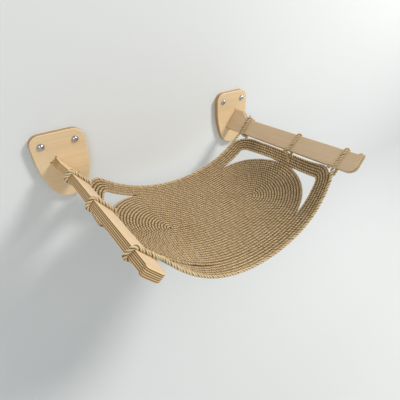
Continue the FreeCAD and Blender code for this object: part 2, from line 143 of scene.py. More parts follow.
class NodeSheet:
    """A material's node tree, with short ways to add the nodes that the finishes share."""

    def __init__(self, name: str) -> None:
        """Start a material with an empty tree.

        Args:
            name: The material's name.
        """
        self.material = bpy.data.materials.new(name)
        self.material.use_nodes = True
        self.tree = self.material.node_tree
        self.tree.nodes.clear()
        self.out = self.add("ShaderNodeOutputMaterial")
        self.spot = self.add("ShaderNodeTexCoord").outputs["Object"]

    def add(self, kind: str, **settings: object) -> bpy.types.Node:
        """Add a node of a kind and set its properties.

        Args:
            kind: The node's type name.
            **settings: Properties of the node.

        Returns:
            The new node.
        """
        node = self.tree.nodes.new(kind)
        for key, value in settings.items():
            setattr(node, key, value)
        return node

    def feed(self, socket: Socket, value: object) -> None:
        """Link a socket to another one, or set its value.

        Args:
            socket: The socket that is fed.
            value: Another socket, or a number, vector or colour.
        """
        if isinstance(value, Socket):
            self.tree.links.new(value, socket)
        else:
            socket.default_value = value

    def work(self, operation: str, *values: object) -> Socket:
        """Work out a number.

        Args:
            operation: The Math node's operation.
            *values: Numbers or sockets.

        Returns:
            The result's socket.
        """
        node = self.add("ShaderNodeMath", operation=operation)
        for socket, value in zip(node.inputs, values):
            self.feed(socket, value)
        return node.outputs[0]

    def plus(self, first: object, second: object) -> Socket:
        """Add one number to another."""
        return self.work("ADD", first, second)

    def less(self, first: object, second: object) -> Socket:
        """Take the second number from the first."""
        return self.work("SUBTRACT", first, second)

    def times(self, first: object, second: object) -> Socket:
        """Multiply two numbers."""
        return self.work("MULTIPLY", first, second)

    def vector(self, operation: str, first: object, second: object = None) -> bpy.types.Node:
        """Work on one vector or two.

        Args:
            operation: The Vector Math node's operation.
            first: The first vector.
            second: The second vector, where the operation has one.

        Returns:
            The node.
        """
        node = self.add("ShaderNodeVectorMath", operation=operation)
        self.feed(node.inputs[0], first)
        if second is not None:
            self.feed(node.inputs[1], second)
        return node

    def join(self, x: object, y: object, z: object) -> Socket:
        """Join three numbers into a vector.

        Args:
            x: A number or socket.
            y: A number or socket.
            z: A number or socket.

        Returns:
            The vector's socket.
        """
        node = self.add("ShaderNodeCombineXYZ")
        for socket, value in zip(node.inputs, (x, y, z)):
            self.feed(socket, value)
        return node.outputs[0]

    def stretch(self, parts: list[Socket], scales: tuple[float, float, float]) -> Socket:
        """Join three numbers into a vector, each of them times a scale."""
        return self.join(*[self.times(part, scale) for part, scale in zip(parts, scales)])

    def noise(self, vector: Socket, grain: Grain) -> Socket:
        """Read a noise, 0 to 1.

        Args:
            vector: Where the noise is read.
            grain: How fine it is.

        Returns:
            The noise's socket.
        """
        node = self.add("ShaderNodeTexNoise")
        self.feed(node.inputs["Vector"], vector)
        self.feed(node.inputs["Scale"], grain.scale)
        self.feed(node.inputs["Detail"], grain.detail)
        self.feed(node.inputs["Roughness"], grain.rough)
        return node.outputs["Fac"]

    def ramp(self, value: Socket, stops: list[tuple[float, Colour]]) -> Socket:
        """Turn a number into a colour.

        Args:
            value: The number's socket.
            stops: Two or three positions and their colours.

        Returns:
            The colour's socket.
        """
        node = self.add("ShaderNodeValToRGB")
        marks = node.color_ramp.elements
        while len(marks) < len(stops):
            marks.new(stops[1][0])
        for mark, (position, colour) in zip(marks, stops):
            mark.position = position
            mark.color = colour
        self.feed(node.inputs[0], value)
        return node.outputs[0]

    def mix(self, share: object, first: object, second: object) -> Socket:
        """Mix two colours.

        Args:
            share: How much of the second colour there is.
            first: The first colour.
            second: The second colour.

        Returns:
            The colour's socket.
        """
        node = self.add("ShaderNodeMix", data_type="RGBA", blend_type="MIX", clamp_result=True)
        for index, value in zip(MIX_INPUTS, (share, first, second)):
            self.feed(node.inputs[index], value)
        return node.outputs[MIX_OUTPUT]

    def fade(self, value: Socket, fade: Fade) -> Socket:
        """Map a number from one range smoothly to another.

        Args:
            value: The number's socket.
            fade: Both ranges.

        Returns:
            The result's socket.
        """
        node = self.add("ShaderNodeMapRange", interpolation_type="SMOOTHSTEP")
        for socket, item in zip(node.inputs, (value, fade.low, fade.high, fade.start, fade.end)):
            self.feed(socket, item)
        return node.outputs[0]

    def bump(self, height: Socket, relief: Relief) -> Socket:
        """Turn a height into a bent normal.

        Args:
            height: The height's socket.
            relief: How deep it goes and how strongly it shows.

        Returns:
            The normal's socket.
        """
        node = self.add("ShaderNodeBump")
        self.feed(node.inputs["Height"], height)
        self.feed(node.inputs["Distance"], relief.depth)
        self.feed(node.inputs["Strength"], relief.strength)
        return node.outputs[0]

    def shade(self, **sockets: object) -> bpy.types.Material:
        """Finish the material with one surface shader.

        Args:
            **sockets: The shader's inputs, with _ for a space.

        Returns:
            The material.
        """
        shader = self.add("ShaderNodeBsdfPrincipled")
        for key, value in sockets.items():
            self.feed(shader.inputs[key.replace("_", " ")], value)
        self.tree.links.new(shader.outputs[0], self.out.inputs["Surface"])
        return self.material


@dataclass(frozen=True)
class JuteFinish:
    """Twisted jute: pale fibres along each strand, and painted shade between the strands and between the
    rows.

    The fibres wind round a strand by fibre_twist radians a metre. ring_scales makes their noise fine round
    the strand and long along it.
    """

    name: str = "jute"
    pale: Colour = tone(237, 217, 180)
    middle: Colour = tone(208, 181, 139)
    dark: Colour = tone(162, 131, 91)
    # Painted shade between the strands, where they wind into each other.
    groove_shade: Colour = tone(94, 67, 37)
    # Painted shade between the rows, where they lie against each other.
    crevice_shade: Colour = tone(97, 70, 40)
    pale_at: float = 0.72
    middle_at: float = 0.5
    dark_at: float = 0.3
    fibre_twist: float = 900.0
    ring_scales: tuple[float, float, float] = (3.2, 3.2, 60.0)
    fibres: Grain = Grain(1.6, 5, 0.7)
    fibre_share: float = 0.7
    patches: Grain = Grain(34.0, 3, 0.6)
    patch_share: float = 0.14
    patch_height: float = 0.3
    clouds: Grain = Grain(7.0, 2, 0.5)
    cloud_share: float = 0.16
    # How far round each strand, and how strongly, the painted shade between the strands reaches.
    groove_shade_fade: Fade = Fade(0.3, 0.94, 1.0, 0.0)
    groove_shade_share: float = 0.9
    # How deep between the rows, and how strongly, the painted shade between the rows reaches.
    crevice_shade_fade: Fade = Fade(0.21, 0.49)
    crevice_shade_share: float = 0.95
    relief: Relief = Relief(0.0006, 0.7)
    roughness: float = 0.92
    specular: float = 0.2
    sheen: float = 0.25
    sheen_roughness: float = 0.6
    sheen_tint: Colour = tone(236, 214, 170)

    def material(self) -> bpy.types.Material:
        """Make the finish.

        Returns:
            A material that reads the strand's own UV map: metres along it, and a share of a turn round it.
        """
        sheet = NodeSheet(self.name)
        strand = sheet.add("ShaderNodeUVMap", uv_map="strand").outputs[0]
        split = sheet.add("ShaderNodeSeparateXYZ")
        sheet.feed(split.inputs[0], strand)
        length = split.outputs[0]
        turn = sheet.times(split.outputs[1], math.tau)
        spun = sheet.plus(turn, sheet.times(length, self.fibre_twist))
        ring = sheet.stretch([sheet.work("COSINE", spun), sheet.work("SINE", spun), length], self.ring_scales)
        fibres = sheet.noise(ring, self.fibres)
        patches = sheet.noise(sheet.spot, self.patches)
        clouds = sheet.noise(sheet.spot, self.clouds)
        blend = sheet.plus(sheet.times(fibres, self.fibre_share), sheet.times(patches, self.patch_share))
        blend = sheet.plus(blend, sheet.times(clouds, self.cloud_share))
        stops = [(self.dark_at, self.dark), (self.middle_at, self.middle), (self.pale_at, self.pale)]
        colour = sheet.ramp(blend, stops)
        # Painted shade on the side of each strand that faces the rope's middle, where the strands wind into
        # each other.
        inner = sheet.fade(sheet.work("COSINE", turn), self.groove_shade_fade)
        colour = sheet.mix(sheet.times(inner, self.groove_shade_share), colour, self.groove_shade)
        # Painted shade down the sides of each row, where a neighbour row lies against it.
        crevice_shade_mask = sheet.add("ShaderNodeAttribute", attribute_name="crevice_shade").outputs["Fac"]
        crevice_shade_mask = sheet.fade(crevice_shade_mask, self.crevice_shade_fade)
        colour = sheet.mix(sheet.times(crevice_shade_mask, self.crevice_shade_share), colour, self.crevice_shade)
        height = sheet.plus(fibres, sheet.times(patches, self.patch_height))
        return sheet.shade(
            Base_Color=colour,
            Roughness=self.roughness,
            Specular_IOR_Level=self.specular,
            Normal=sheet.bump(height, self.relief),
            Sheen_Weight=self.sheen,
            Sheen_Roughness=self.sheen_roughness,
            Sheen_Tint=self.sheen_tint,
        )


@dataclass(frozen=True)
class PaleJuteFinish(JuteFinish):
    """The paler jute of the ropes round the arms and of all stray fibres."""

    name: str = "pale jute"
    pale: Colour = tone(244, 228, 192)
    middle: Colour = tone(218, 195, 152)
    dark: Colour = tone(176, 146, 102)
    # Painted shade between the strands.
    groove_shade: Colour = tone(104, 76, 46)


@dataclass(frozen=True)
class PlywoodFinish:
    """Birch plywood: a calm face veneer, and layers that show wherever the board is cut.

    The scales stretch the noises along the grain, across it and through the board. veneer_shares says between
    which shares of a layer, in from the face, the veneer gives way to the cut layers.
    """

    name: str
    cut: Cut
    thickness: float
    plies: int
    lean: float = 0.0
    spacing: float = 0.0
    face_light: Colour = tone(228, 203, 163)
    face_dark: Colour = tone(214, 184, 141)
    fine_scales: tuple[float, float, float] = (5.0, 150.0, 300.0)
    fine: Grain = Grain(1.0, 6, 0.65)
    fine_share: float = 0.45
    broad_scales: tuple[float, float, float] = (4.0, 22.0, 22.0)
    broad: Grain = Grain(1.0, 3, 0.55)
    ply_light: Colour = tone(232, 202, 152)
    ply_olive: Colour = tone(188, 160, 98)
    ply_orange: Colour = tone(208, 138, 74)
    light_at: float = 0.5
    olive_at: float = 0.35
    orange_at: float = 0.62
    tint_share: float = 0.72
    ply_dark: Colour = tone(104, 70, 34)
    ply_brown: Colour = tone(136, 98, 56)
    glue: Colour = tone(92, 60, 32)
    wobble: Grain = Grain(45.0, 2)
    wobble_depth: float = 0.0007
    layer_fade: Fade = Fade(0.4, 0.6)
    layer_spread: float = 7.3
    layer_pick: Grain = Grain(1.0, 0)
    seam_fade: Fade = Fade(0.4, 0.5, 0.0, 0.5)
    pores: Grain = Grain(900.0, 2, 0.7)
    veneer_shares: tuple[float, float] = (0.55, 0.35)
    knot: tuple[float, float] | None = None
    knot_tone: Colour = tone(104, 66, 34)
    knot_stretch: float = 1.4
    knot_fade: Fade = Fade(0.0008, 0.0026, 0.85, 0.0)
    grain_height: float = 0.3
    relief: Relief = Relief(0.0003, 0.35)
    shine: Fade = Fade(NOISE_LOW, NOISE_HIGH, 0.42, 0.56)
    specular: float = 0.4

    def ways(self) -> tuple[Vector, Vector, Vector, Vector]:
        """Say how the board lies.

        Returns:
            A point in its middle plane, and the ways of its grain, its width and its thickness.
        """
        if self.cut is Cut.PLATE:
            middle = Vector((0, -self.thickness / 2, 0))
            return middle, Vector((1, 0, 0)), Vector((0, 0, 1)), Vector((0, 1, 0))
        side = self.cut.value
        middle = Vector((side * self.spacing / 2, 0, 0))
        width = Vector((-side * math.cos(self.lean), 0, -math.sin(self.lean)))
        face = Vector((-side * math.sin(self.lean), 0, math.cos(self.lean)))
        return middle, Vector((0, -1, 0)), width, face

    def figure(self, sheet: NodeSheet, place: list[Socket]) -> tuple[Socket, Socket]:
        """Read the veneer's figure.

        Args:
            sheet: The material's nodes.
            place: Where a point lies along the grain, across it and through the board.

        Returns:
            The fine lines of the grain, and the whole figure.
        """
        fine = sheet.noise(sheet.stretch(place, self.fine_scales), self.fine)
        broad = sheet.noise(sheet.stretch(place, self.broad_scales), self.broad)
        whole = sheet.plus(sheet.times(fine, self.fine_share), sheet.times(broad, 1 - self.fine_share))
        return fine, whole

    def layers(self, sheet: NodeSheet, depth: Socket, pores: Socket) -> tuple[Socket, Socket]:
        """Work out the layers that a cut shows: pale ones of several tints, dark ones, and glue between them.

        Args:
            sheet: The material's nodes.
            depth: How far a point lies off the board's middle plane.
            pores: The wood's fine grain.

        Returns:
            The colour, and how much a point lies in a dark layer.
        """
        wobble = sheet.less(sheet.noise(sheet.spot, self.wobble), NOISE_MIDDLE)
        deep = sheet.plus(sheet.plus(depth, self.thickness / 2), sheet.times(wobble, self.wobble_depth))
        layer = sheet.work("DIVIDE", deep, self.thickness / self.plies)
        odd = sheet.fade(sheet.work("PINGPONG", sheet.less(layer, 1 / 2), 1.0), self.layer_fade)
        seam = sheet.work("ABSOLUTE", sheet.less(sheet.work("FRACT", layer), 1 / 2))
        each = sheet.join(sheet.times(sheet.work("FLOOR", layer), self.layer_spread), 0.0, 0.0)
        stops = [
            (self.olive_at, self.ply_olive),
            (self.light_at, self.ply_light),
            (self.orange_at, self.ply_orange),
        ]
        tint = sheet.ramp(sheet.noise(each, self.layer_pick), stops)
        pale = sheet.mix(self.tint_share, self.ply_light, tint)
        colour = sheet.mix(odd, pale, sheet.mix(pores, self.ply_dark, self.ply_brown))
        return sheet.mix(sheet.fade(seam, self.seam_fade), colour, self.glue), odd

    def knot_core(self, sheet: NodeSheet, place: list[Socket]) -> Socket:
        """Find how much of the veneer's small knot a point shows.

        Args:
            sheet: The material's nodes.
            place: Where the point lies along the grain, across it and through the board.

        Returns:
            The share's socket.
        """
        across = sheet.times(sheet.less(place[1], self.knot[1]), self.knot_stretch)
        spot = sheet.join(sheet.less(place[0], self.knot[0]), across, 0.0)
        return sheet.fade(sheet.vector("LENGTH", spot).outputs["Value"], self.knot_fade)

    def material(self) -> bpy.types.Material:
        """Make the finish.

        Returns:
            A material that reads where a point lies in the board, so that edges show the layers.
        """
        sheet = NodeSheet(self.name)
        middle, *ways = self.ways()
        shift = sheet.vector("SUBTRACT", sheet.spot, middle).outputs[0]
        place = [sheet.vector("DOT_PRODUCT", shift, way).outputs["Value"] for way in ways]
        fine, figure = self.figure(sheet, place)
        face = sheet.ramp(figure, [(NOISE_LOW, self.face_dark), (NOISE_HIGH, self.face_light)])
        pores = sheet.noise(sheet.spot, self.pores)
        layers, odd = self.layers(sheet, place[2], pores)
        half, ply = self.thickness / 2, self.thickness / self.plies
        cut, veneer = [half - ply * share for share in self.veneer_shares]
        buried = sheet.fade(sheet.work("ABSOLUTE", place[2]), Fade(cut, veneer, 1.0, 0.0))
        colour = sheet.mix(buried, face, layers)
        if self.knot:
            colour = sheet.mix(self.knot_core(sheet, place), colour, self.knot_tone)
        pits = sheet.times(sheet.times(buried, odd), pores)
        height = sheet.less(sheet.times(fine, self.grain_height), pits)
        return sheet.shade(
            Base_Color=colour,
            Roughness=sheet.fade(figure, self.shine),
            Specular_IOR_Level=self.specular,
            Normal=sheet.bump(height, self.relief),
        )


@dataclass(frozen=True)
class MetalFinish:
    """A metal with a faint unevenness in its shine."""

    name: str
    colour: Colour
    smears: Grain
    roughness: Fade
    relief: Relief = Relief(0.00003, 0.2)

    def material(self) -> bpy.types.Material:
        """Make the finish.

        Returns:
            The metal's material.
        """
        sheet = NodeSheet(self.name)
        smears = sheet.noise(sheet.spot, self.smears)
        return sheet.shade(
            Base_Color=self.colour,
            Metallic=1.0,
            Roughness=sheet.fade(smears, self.roughness),
            Normal=sheet.bump(smears, self.relief),
        )


@dataclass(frozen=True)
class NylonFinish:
    """Moulded grey nylon with a fine grain."""

    name: str = "plug nylon"
    light: Colour = tone(168, 168, 172)
    dark: Colour = tone(154, 154, 158)
    grain: Grain = Grain(1400.0, 2, 0.6)
    relief: Relief = Relief(0.00005, 0.4)
    roughness: float = 0.55

    def material(self) -> bpy.types.Material:
        """Make the finish.

        Returns:
            The plugs' material.
        """
        sheet = NodeSheet(self.name)
        grain = sheet.noise(sheet.spot, self.grain)
        colour = sheet.ramp(grain, [(NOISE_LOW, self.dark), (NOISE_HIGH, self.light)])
        return sheet.shade(Base_Color=colour, Roughness=self.roughness, Normal=sheet.bump(grain, self.relief))


@dataclass(frozen=True)
class PaintFinish:
    """Plain matt paint of the wall and floor, seen from the room's side only.

    Light that starts nearer to the sheet than touch passes it as well, so that the plates' backs, which lie
    against it, can be seen from behind.
    """

    name: str = "wall paint"
    colour: Colour = tone(218, 220, 219)
    mottle: Grain = Grain(260.0, 3, 0.6)
    relief: Relief = Relief(0.0004, 0.15)
    touch: float = 0.005

    def material(self) -> bpy.types.Material:
        """Make the finish.

        Returns:
            A matt material that lets a look from behind pass.
        """
        sheet = NodeSheet(self.name)
        shader = sheet.add("ShaderNodeBsdfDiffuse")
        sheet.feed(shader.inputs["Color"], self.colour)
        sheet.feed(shader.inputs["Normal"], sheet.bump(sheet.noise(sheet.spot, self.mottle), self.relief))
        clear = sheet.add("ShaderNodeBsdfTransparent")
        behind = sheet.add("ShaderNodeNewGeometry").outputs["Backfacing"]
        ray = sheet.add("ShaderNodeLightPath").outputs["Ray Length"]
        near = sheet.work("LESS_THAN", ray, self.touch)
        pick = sheet.add("ShaderNodeMixShader")
        sheet.feed(pick.inputs[0], sheet.work("MAXIMUM", behind, near))
        sheet.feed(pick.inputs[1], shader.outputs[0])
        sheet.feed(pick.inputs[2], clear.outputs[0])
        sheet.feed(sheet.out.inputs["Surface"], pick.outputs[0])
        return sheet.material


@dataclass(frozen=True)
class ArmBoard:
    """Where the two arms lie: boards that stand out from the wall and lean towards each other."""

    spacing: float = 0.552
    width: float = 0.0485
    thickness: float = 0.018
    plies: int = 11
    lean: float = math.radians(54)

    def point(self, side: Side, out: float, across: float, face: float) -> Vector:
        """Place a point of an arm.

        Args:
            side: Which arm.
            out: How far from the wall.
            across: How far across the board from its middle, growing to the lower edge.
            face: How far off its middle plane, growing towards the mat.

        Returns:
            The point.
        """
        x = side.value * (self.spacing / 2 - across * math.cos(self.lean) - face * math.sin(self.lean))
        return Vector((x, -out, -across * math.sin(self.lean) + face * math.cos(self.lean)))


@dataclass(frozen=True)
class MatShape:
    """The sagging sheet that the rope's rows lie in, and where the rows turn.

    The three sags are radii of its hang. Its middle lies reach from the wall, and aside to the right. The
    rows lie off a straight middle line, and their turns are counted in quarters from its heart. The corners'
    run and depth are where the outer rows' arcs have their middles.
    """

    rope: float = 0.0062
    pitch: float = 0.0074
    coil_turns: int = 19
    border_turns: int = 5
    middle_run: float = 0.129
    middle_sag: float = 0.445
    front_sag: float = 0.242
    back_sag: float = 0.370
    drop: float = 0.148
    reach: float = 0.249
    aside: float = 0.004
    dip: float = math.radians(11.6)
    skew: float = math.radians(6.0)
    tilt: float = math.radians(0.8)
    front_twist: float = math.radians(2.6)
    front_corner: tuple[float, float] = (0.256, 0.109)
    back_corner: tuple[float, float] = (0.224, 0.133)
    corner_radius: float = 0.014
    shoulder_share: float = 0.33
    probe: float = 0.00001

    def share(self, depth: float | np.ndarray) -> float | np.ndarray:
        """Return a depth as a share of the way to the border's edge."""
        return depth / ((self.coil_turns + self.border_turns) * self.pitch)

    def bend(self, depth: float | np.ndarray) -> float | np.ndarray:
        """Find how sharply the sheet bends.

        Args:
            depth: How far to the front, one or more.

        Returns:
            The curvature there.
        """
        share = self.share(depth)
        middle, front, back = 1 / self.middle_sag, 1 / self.front_sag, 1 / self.back_sag
        return middle + (front - back) / 2 * share + ((front + back) / 2 - middle) * share**2

    def sheet(self, run: float | np.ndarray, depth: float | np.ndarray) -> np.ndarray:
        """Place one or more points of the mat.

        Args:
            run: How far along the sag to the right.
            depth: How far to the front.

        Returns:
            The points, with x, y and z along the last axis.
        """
        bend = self.bend(depth)
        across = np.sin(bend * run) / bend
        tilt = self.tilt + self.front_twist * ((1 + self.share(depth)) / 2) ** 2
        rise = (1 - np.cos(bend * run)) / bend + across * np.tan(tilt)
        forward = depth * math.cos(self.dip) + across * math.tan(self.skew)
        height = rise - self.drop - depth * math.sin(self.dip)
        return np.stack([self.aside + across, -self.reach - forward, height], axis=-1)

    def point(self, run: float, depth: float) -> Vector:
        """Return a point of the mat."""
        return Vector(self.sheet(run, depth))

    def ups(self, points: np.ndarray) -> np.ndarray:
        """Find the mat's upward normals.

        Args:
            points: Points on the mat, one a row.

        Returns:
            Their normals.
        """
        across = points[:, 0] - self.aside
        depth = (-self.reach - points[:, 1] - across * math.tan(self.skew)) / math.cos(self.dip)
        bend = self.bend(depth)
        run = np.arcsin(np.clip(bend * across, -1, 1)) / bend
        along = self.sheet(run + self.probe, depth) - self.sheet(run - self.probe, depth)
        back = self.sheet(run, depth - self.probe) - self.sheet(run, depth + self.probe)
        up = np.cross(along, back)
        return up / np.linalg.norm(up, axis=1)[:, None]

    def way(self, run: float, depth: float, run_share: float, depth_share: float) -> Vector:
        """Find the direction of a step on the mat.

        Args:
            run: Where, along the sag.
            depth: Where, to the front.
            run_share: The step's share along the sag.
            depth_share: Its share to the front.

        Returns:
            The direction, one long.
        """
        ahead = self.point(run + run_share * self.probe, depth + depth_share * self.probe)
        behind = self.point(run - run_share * self.probe, depth - depth_share * self.probe)
        return (ahead - behind).normalized()

    def up(self, run: float, depth: float) -> Vector:
        """Return the mat's upward normal."""
        return -self.way(run, depth, 0, -1).cross(self.way(run, depth, 1, 0))

    def offset(self, quarter: float) -> float:
        """Return how far the rope lies off the middle line after some quarter turns."""
        return self.pitch * (quarter + 1) / 4

    def last_quarter(self) -> int:
        """Return how many quarter turns both ropes make together."""
        return 4 * (self.coil_turns + self.border_turns) - 1

    def middle_place(self, quarter: int) -> Place:
        """Find the rope's place at the middle of the front, right, back or left side.

        Args:
            quarter: How many quarter turns the rope has made.

        Returns:
            The place.
        """
        offset = self.offset(quarter)
        run, depth, run_share, depth_share = [
            (0, offset, 1, 0),
            (self.middle_run + offset, 0, 0, -1),
            (0, -offset, -1, 0),
            (-self.middle_run - offset, 0, 0, 1),
        ][quarter % 4]
        return self.point(run, depth), self.way(run, depth, run_share, depth_share)

    def corner_spot(self, side: Side, end: End, offset: float, angle: float) -> tuple[float, float, float]:
        """Find a rope's spot on a corner.

        Args:
            side: Which side of the mat.
            end: Which end of that side.
            offset: How far the row lies off the middle line.
            angle: How far round the corner, from the side that faces the arm.

        Returns:
            The run, the depth and the corner's radius there.
        """
        run, depth = self.front_corner if end is End.FRONT else self.back_corner
        radius = self.corner_radius + offset - self.offset(4 * self.coil_turns)
        run = side.value * (run + radius * math.cos(angle))
        return run, end.value * (depth + radius * math.sin(angle)), radius

    def corner_place(self, side: Side, end: End, offset: float, towards: int) -> tuple[Place, float]:
        """Find a rope's place halfway round a corner.

        Args:
            side: Which side of the mat.
            end: Which end of that side.
            offset: How far the row lies off the middle line.
            towards: 1 where the rope runs to the arm, and -1 where it comes from it.

        Returns:
            The place, and the tangent's length from there to the corner's end.
        """
        angle = math.radians(45)
        run, depth, radius = self.corner_spot(side, end, offset, angle)
        run_share = towards * side.value * math.sin(angle)
        depth_share = -towards * end.value * math.cos(angle)
        way = self.way(run, depth, run_share, depth_share)
        return (self.point(run, depth), way), radius * math.tan(angle / 2)

    def shoulder_place(self, side: Side, end: End, offset: float, towards: int) -> Place:
        """Find a rope's place on the front or back, level with the end of the middle line.

        Args:
            side: Which side of the mat.
            end: Its front or back.
            offset: How far the row lies off the middle line.
            towards: 1 where the rope runs to the arm, and -1 where it comes from it.

        Returns:
            The place.
        """
        run, depth = side.value * self.middle_run, end.value * offset
        return self.point(run, depth), self.way(run, depth, towards * side.value, 0)


class Route:
    """A rope's middle line, gathered as points a short step apart.

    An arc that turns less than straight, in radians, is laid as a line.
    """

    straight: float = 1e-5

    def __init__(self, step: float = 0.002) -> None:
        """Start an empty route.

        Args:
            step: How far apart its points lie.
        """
        self.step = step
        self.points: list[Vector] = []

    def arc(self, start: Vector, way: Vector, end: Vector) -> Vector:
        """Go round an arc.

        Args:
            start: Where it starts.
            way: Its direction there.
            end: Where it ends.

        Returns:
            Its direction at its end.
        """
        chord = end - start
        along = chord.normalized()
        half = math.acos(max(-1.0, min(1.0, way.dot(along))))
        if half < self.straight:
            count = max(1, math.ceil(chord.length / self.step))
            self.points += [start + chord * (i / count) for i in range(count)]
            return along
        radius = chord.length / (2 * math.sin(half))
        aside = (along - way * way.dot(along)).normalized()
        centre = start + aside * radius
        count = max(1, math.ceil(2 * half * radius / self.step))
        for index in range(count):
            turn = 2 * half * index / count
            self.points.append(centre + way * (radius * math.sin(turn)) - aside * (radius * math.cos(turn)))
        return along * (2 * way.dot(along)) - way

    def biarc(self, first: Place, second: Place, near: float, near_first: bool = False) -> None:
        """Go from one place to another on two arcs.

        Args:
            first: The place where they start.
            second: The place where they end.
            near: The tangent's length of the arc at one end.
            near_first: Whether that is the first end.
        """
        meeting = self.meeting(first, second, near, near_first)
        way = self.arc(first[0], first[1], meeting)
        self.arc(meeting, way, second[0])

    def meeting(self, first: Place, second: Place, near: float, near_first: bool = False) -> Vector:
        """Find where the two arcs between two places meet.

        Args:
            first: The place where they start.
            second: The place where they end.
            near: The tangent's length of the arc at one end.
            near_first: Whether that is the first end.

        Returns:
            The point.
        """
        (here, here_way), (there, there_way) = first, second
        if near_first:
            (here, here_way), (there, there_way) = (there, -there_way), (here, -here_way)
        chord = there - here
        far = (chord.dot(chord) - 2 * near * chord.dot(there_way)) / (
            2 * (chord.dot(here_way) + near * (1 - here_way.dot(there_way)))
        )
        return ((here + here_way * far) * near + (there - there_way * near) * far) / (near + far)

    def even(self, first: Place, second: Place) -> None:
        """Go from one place to another on two like arcs."""
        self.biarc(first, second, (second[0] - first[0]).length / 4)

    def rounded(self, points: list[Vector], radii: list[float]) -> None:
        """Go along points, straight but for an arc at each inner point.

        Args:
            points: The route's corners and ends.
            radii: The bend's radius at each inner point.
        """
        start = points[0]
        for before, corner, after, radius in zip(points, points[1:], points[2:], radii):
            inward = (corner - before).normalized()
            outward = (after - corner).normalized()
            turn = math.acos(max(-1.0, min(1.0, inward.dot(outward))))
            cut = radius * math.tan(turn / 2)
            self.arc(start, inward, corner - inward * cut)
            self.arc(corner - inward * cut, inward, corner + outward * cut)
            start = corner + outward * cut
        self.arc(start, (points[-1] - start).normalized(), points[-1])
        self.points.append(points[-1])

    def line(self) -> np.ndarray:
        """Return the points as an array."""
        return np.array([tuple(point) for point in self.points])


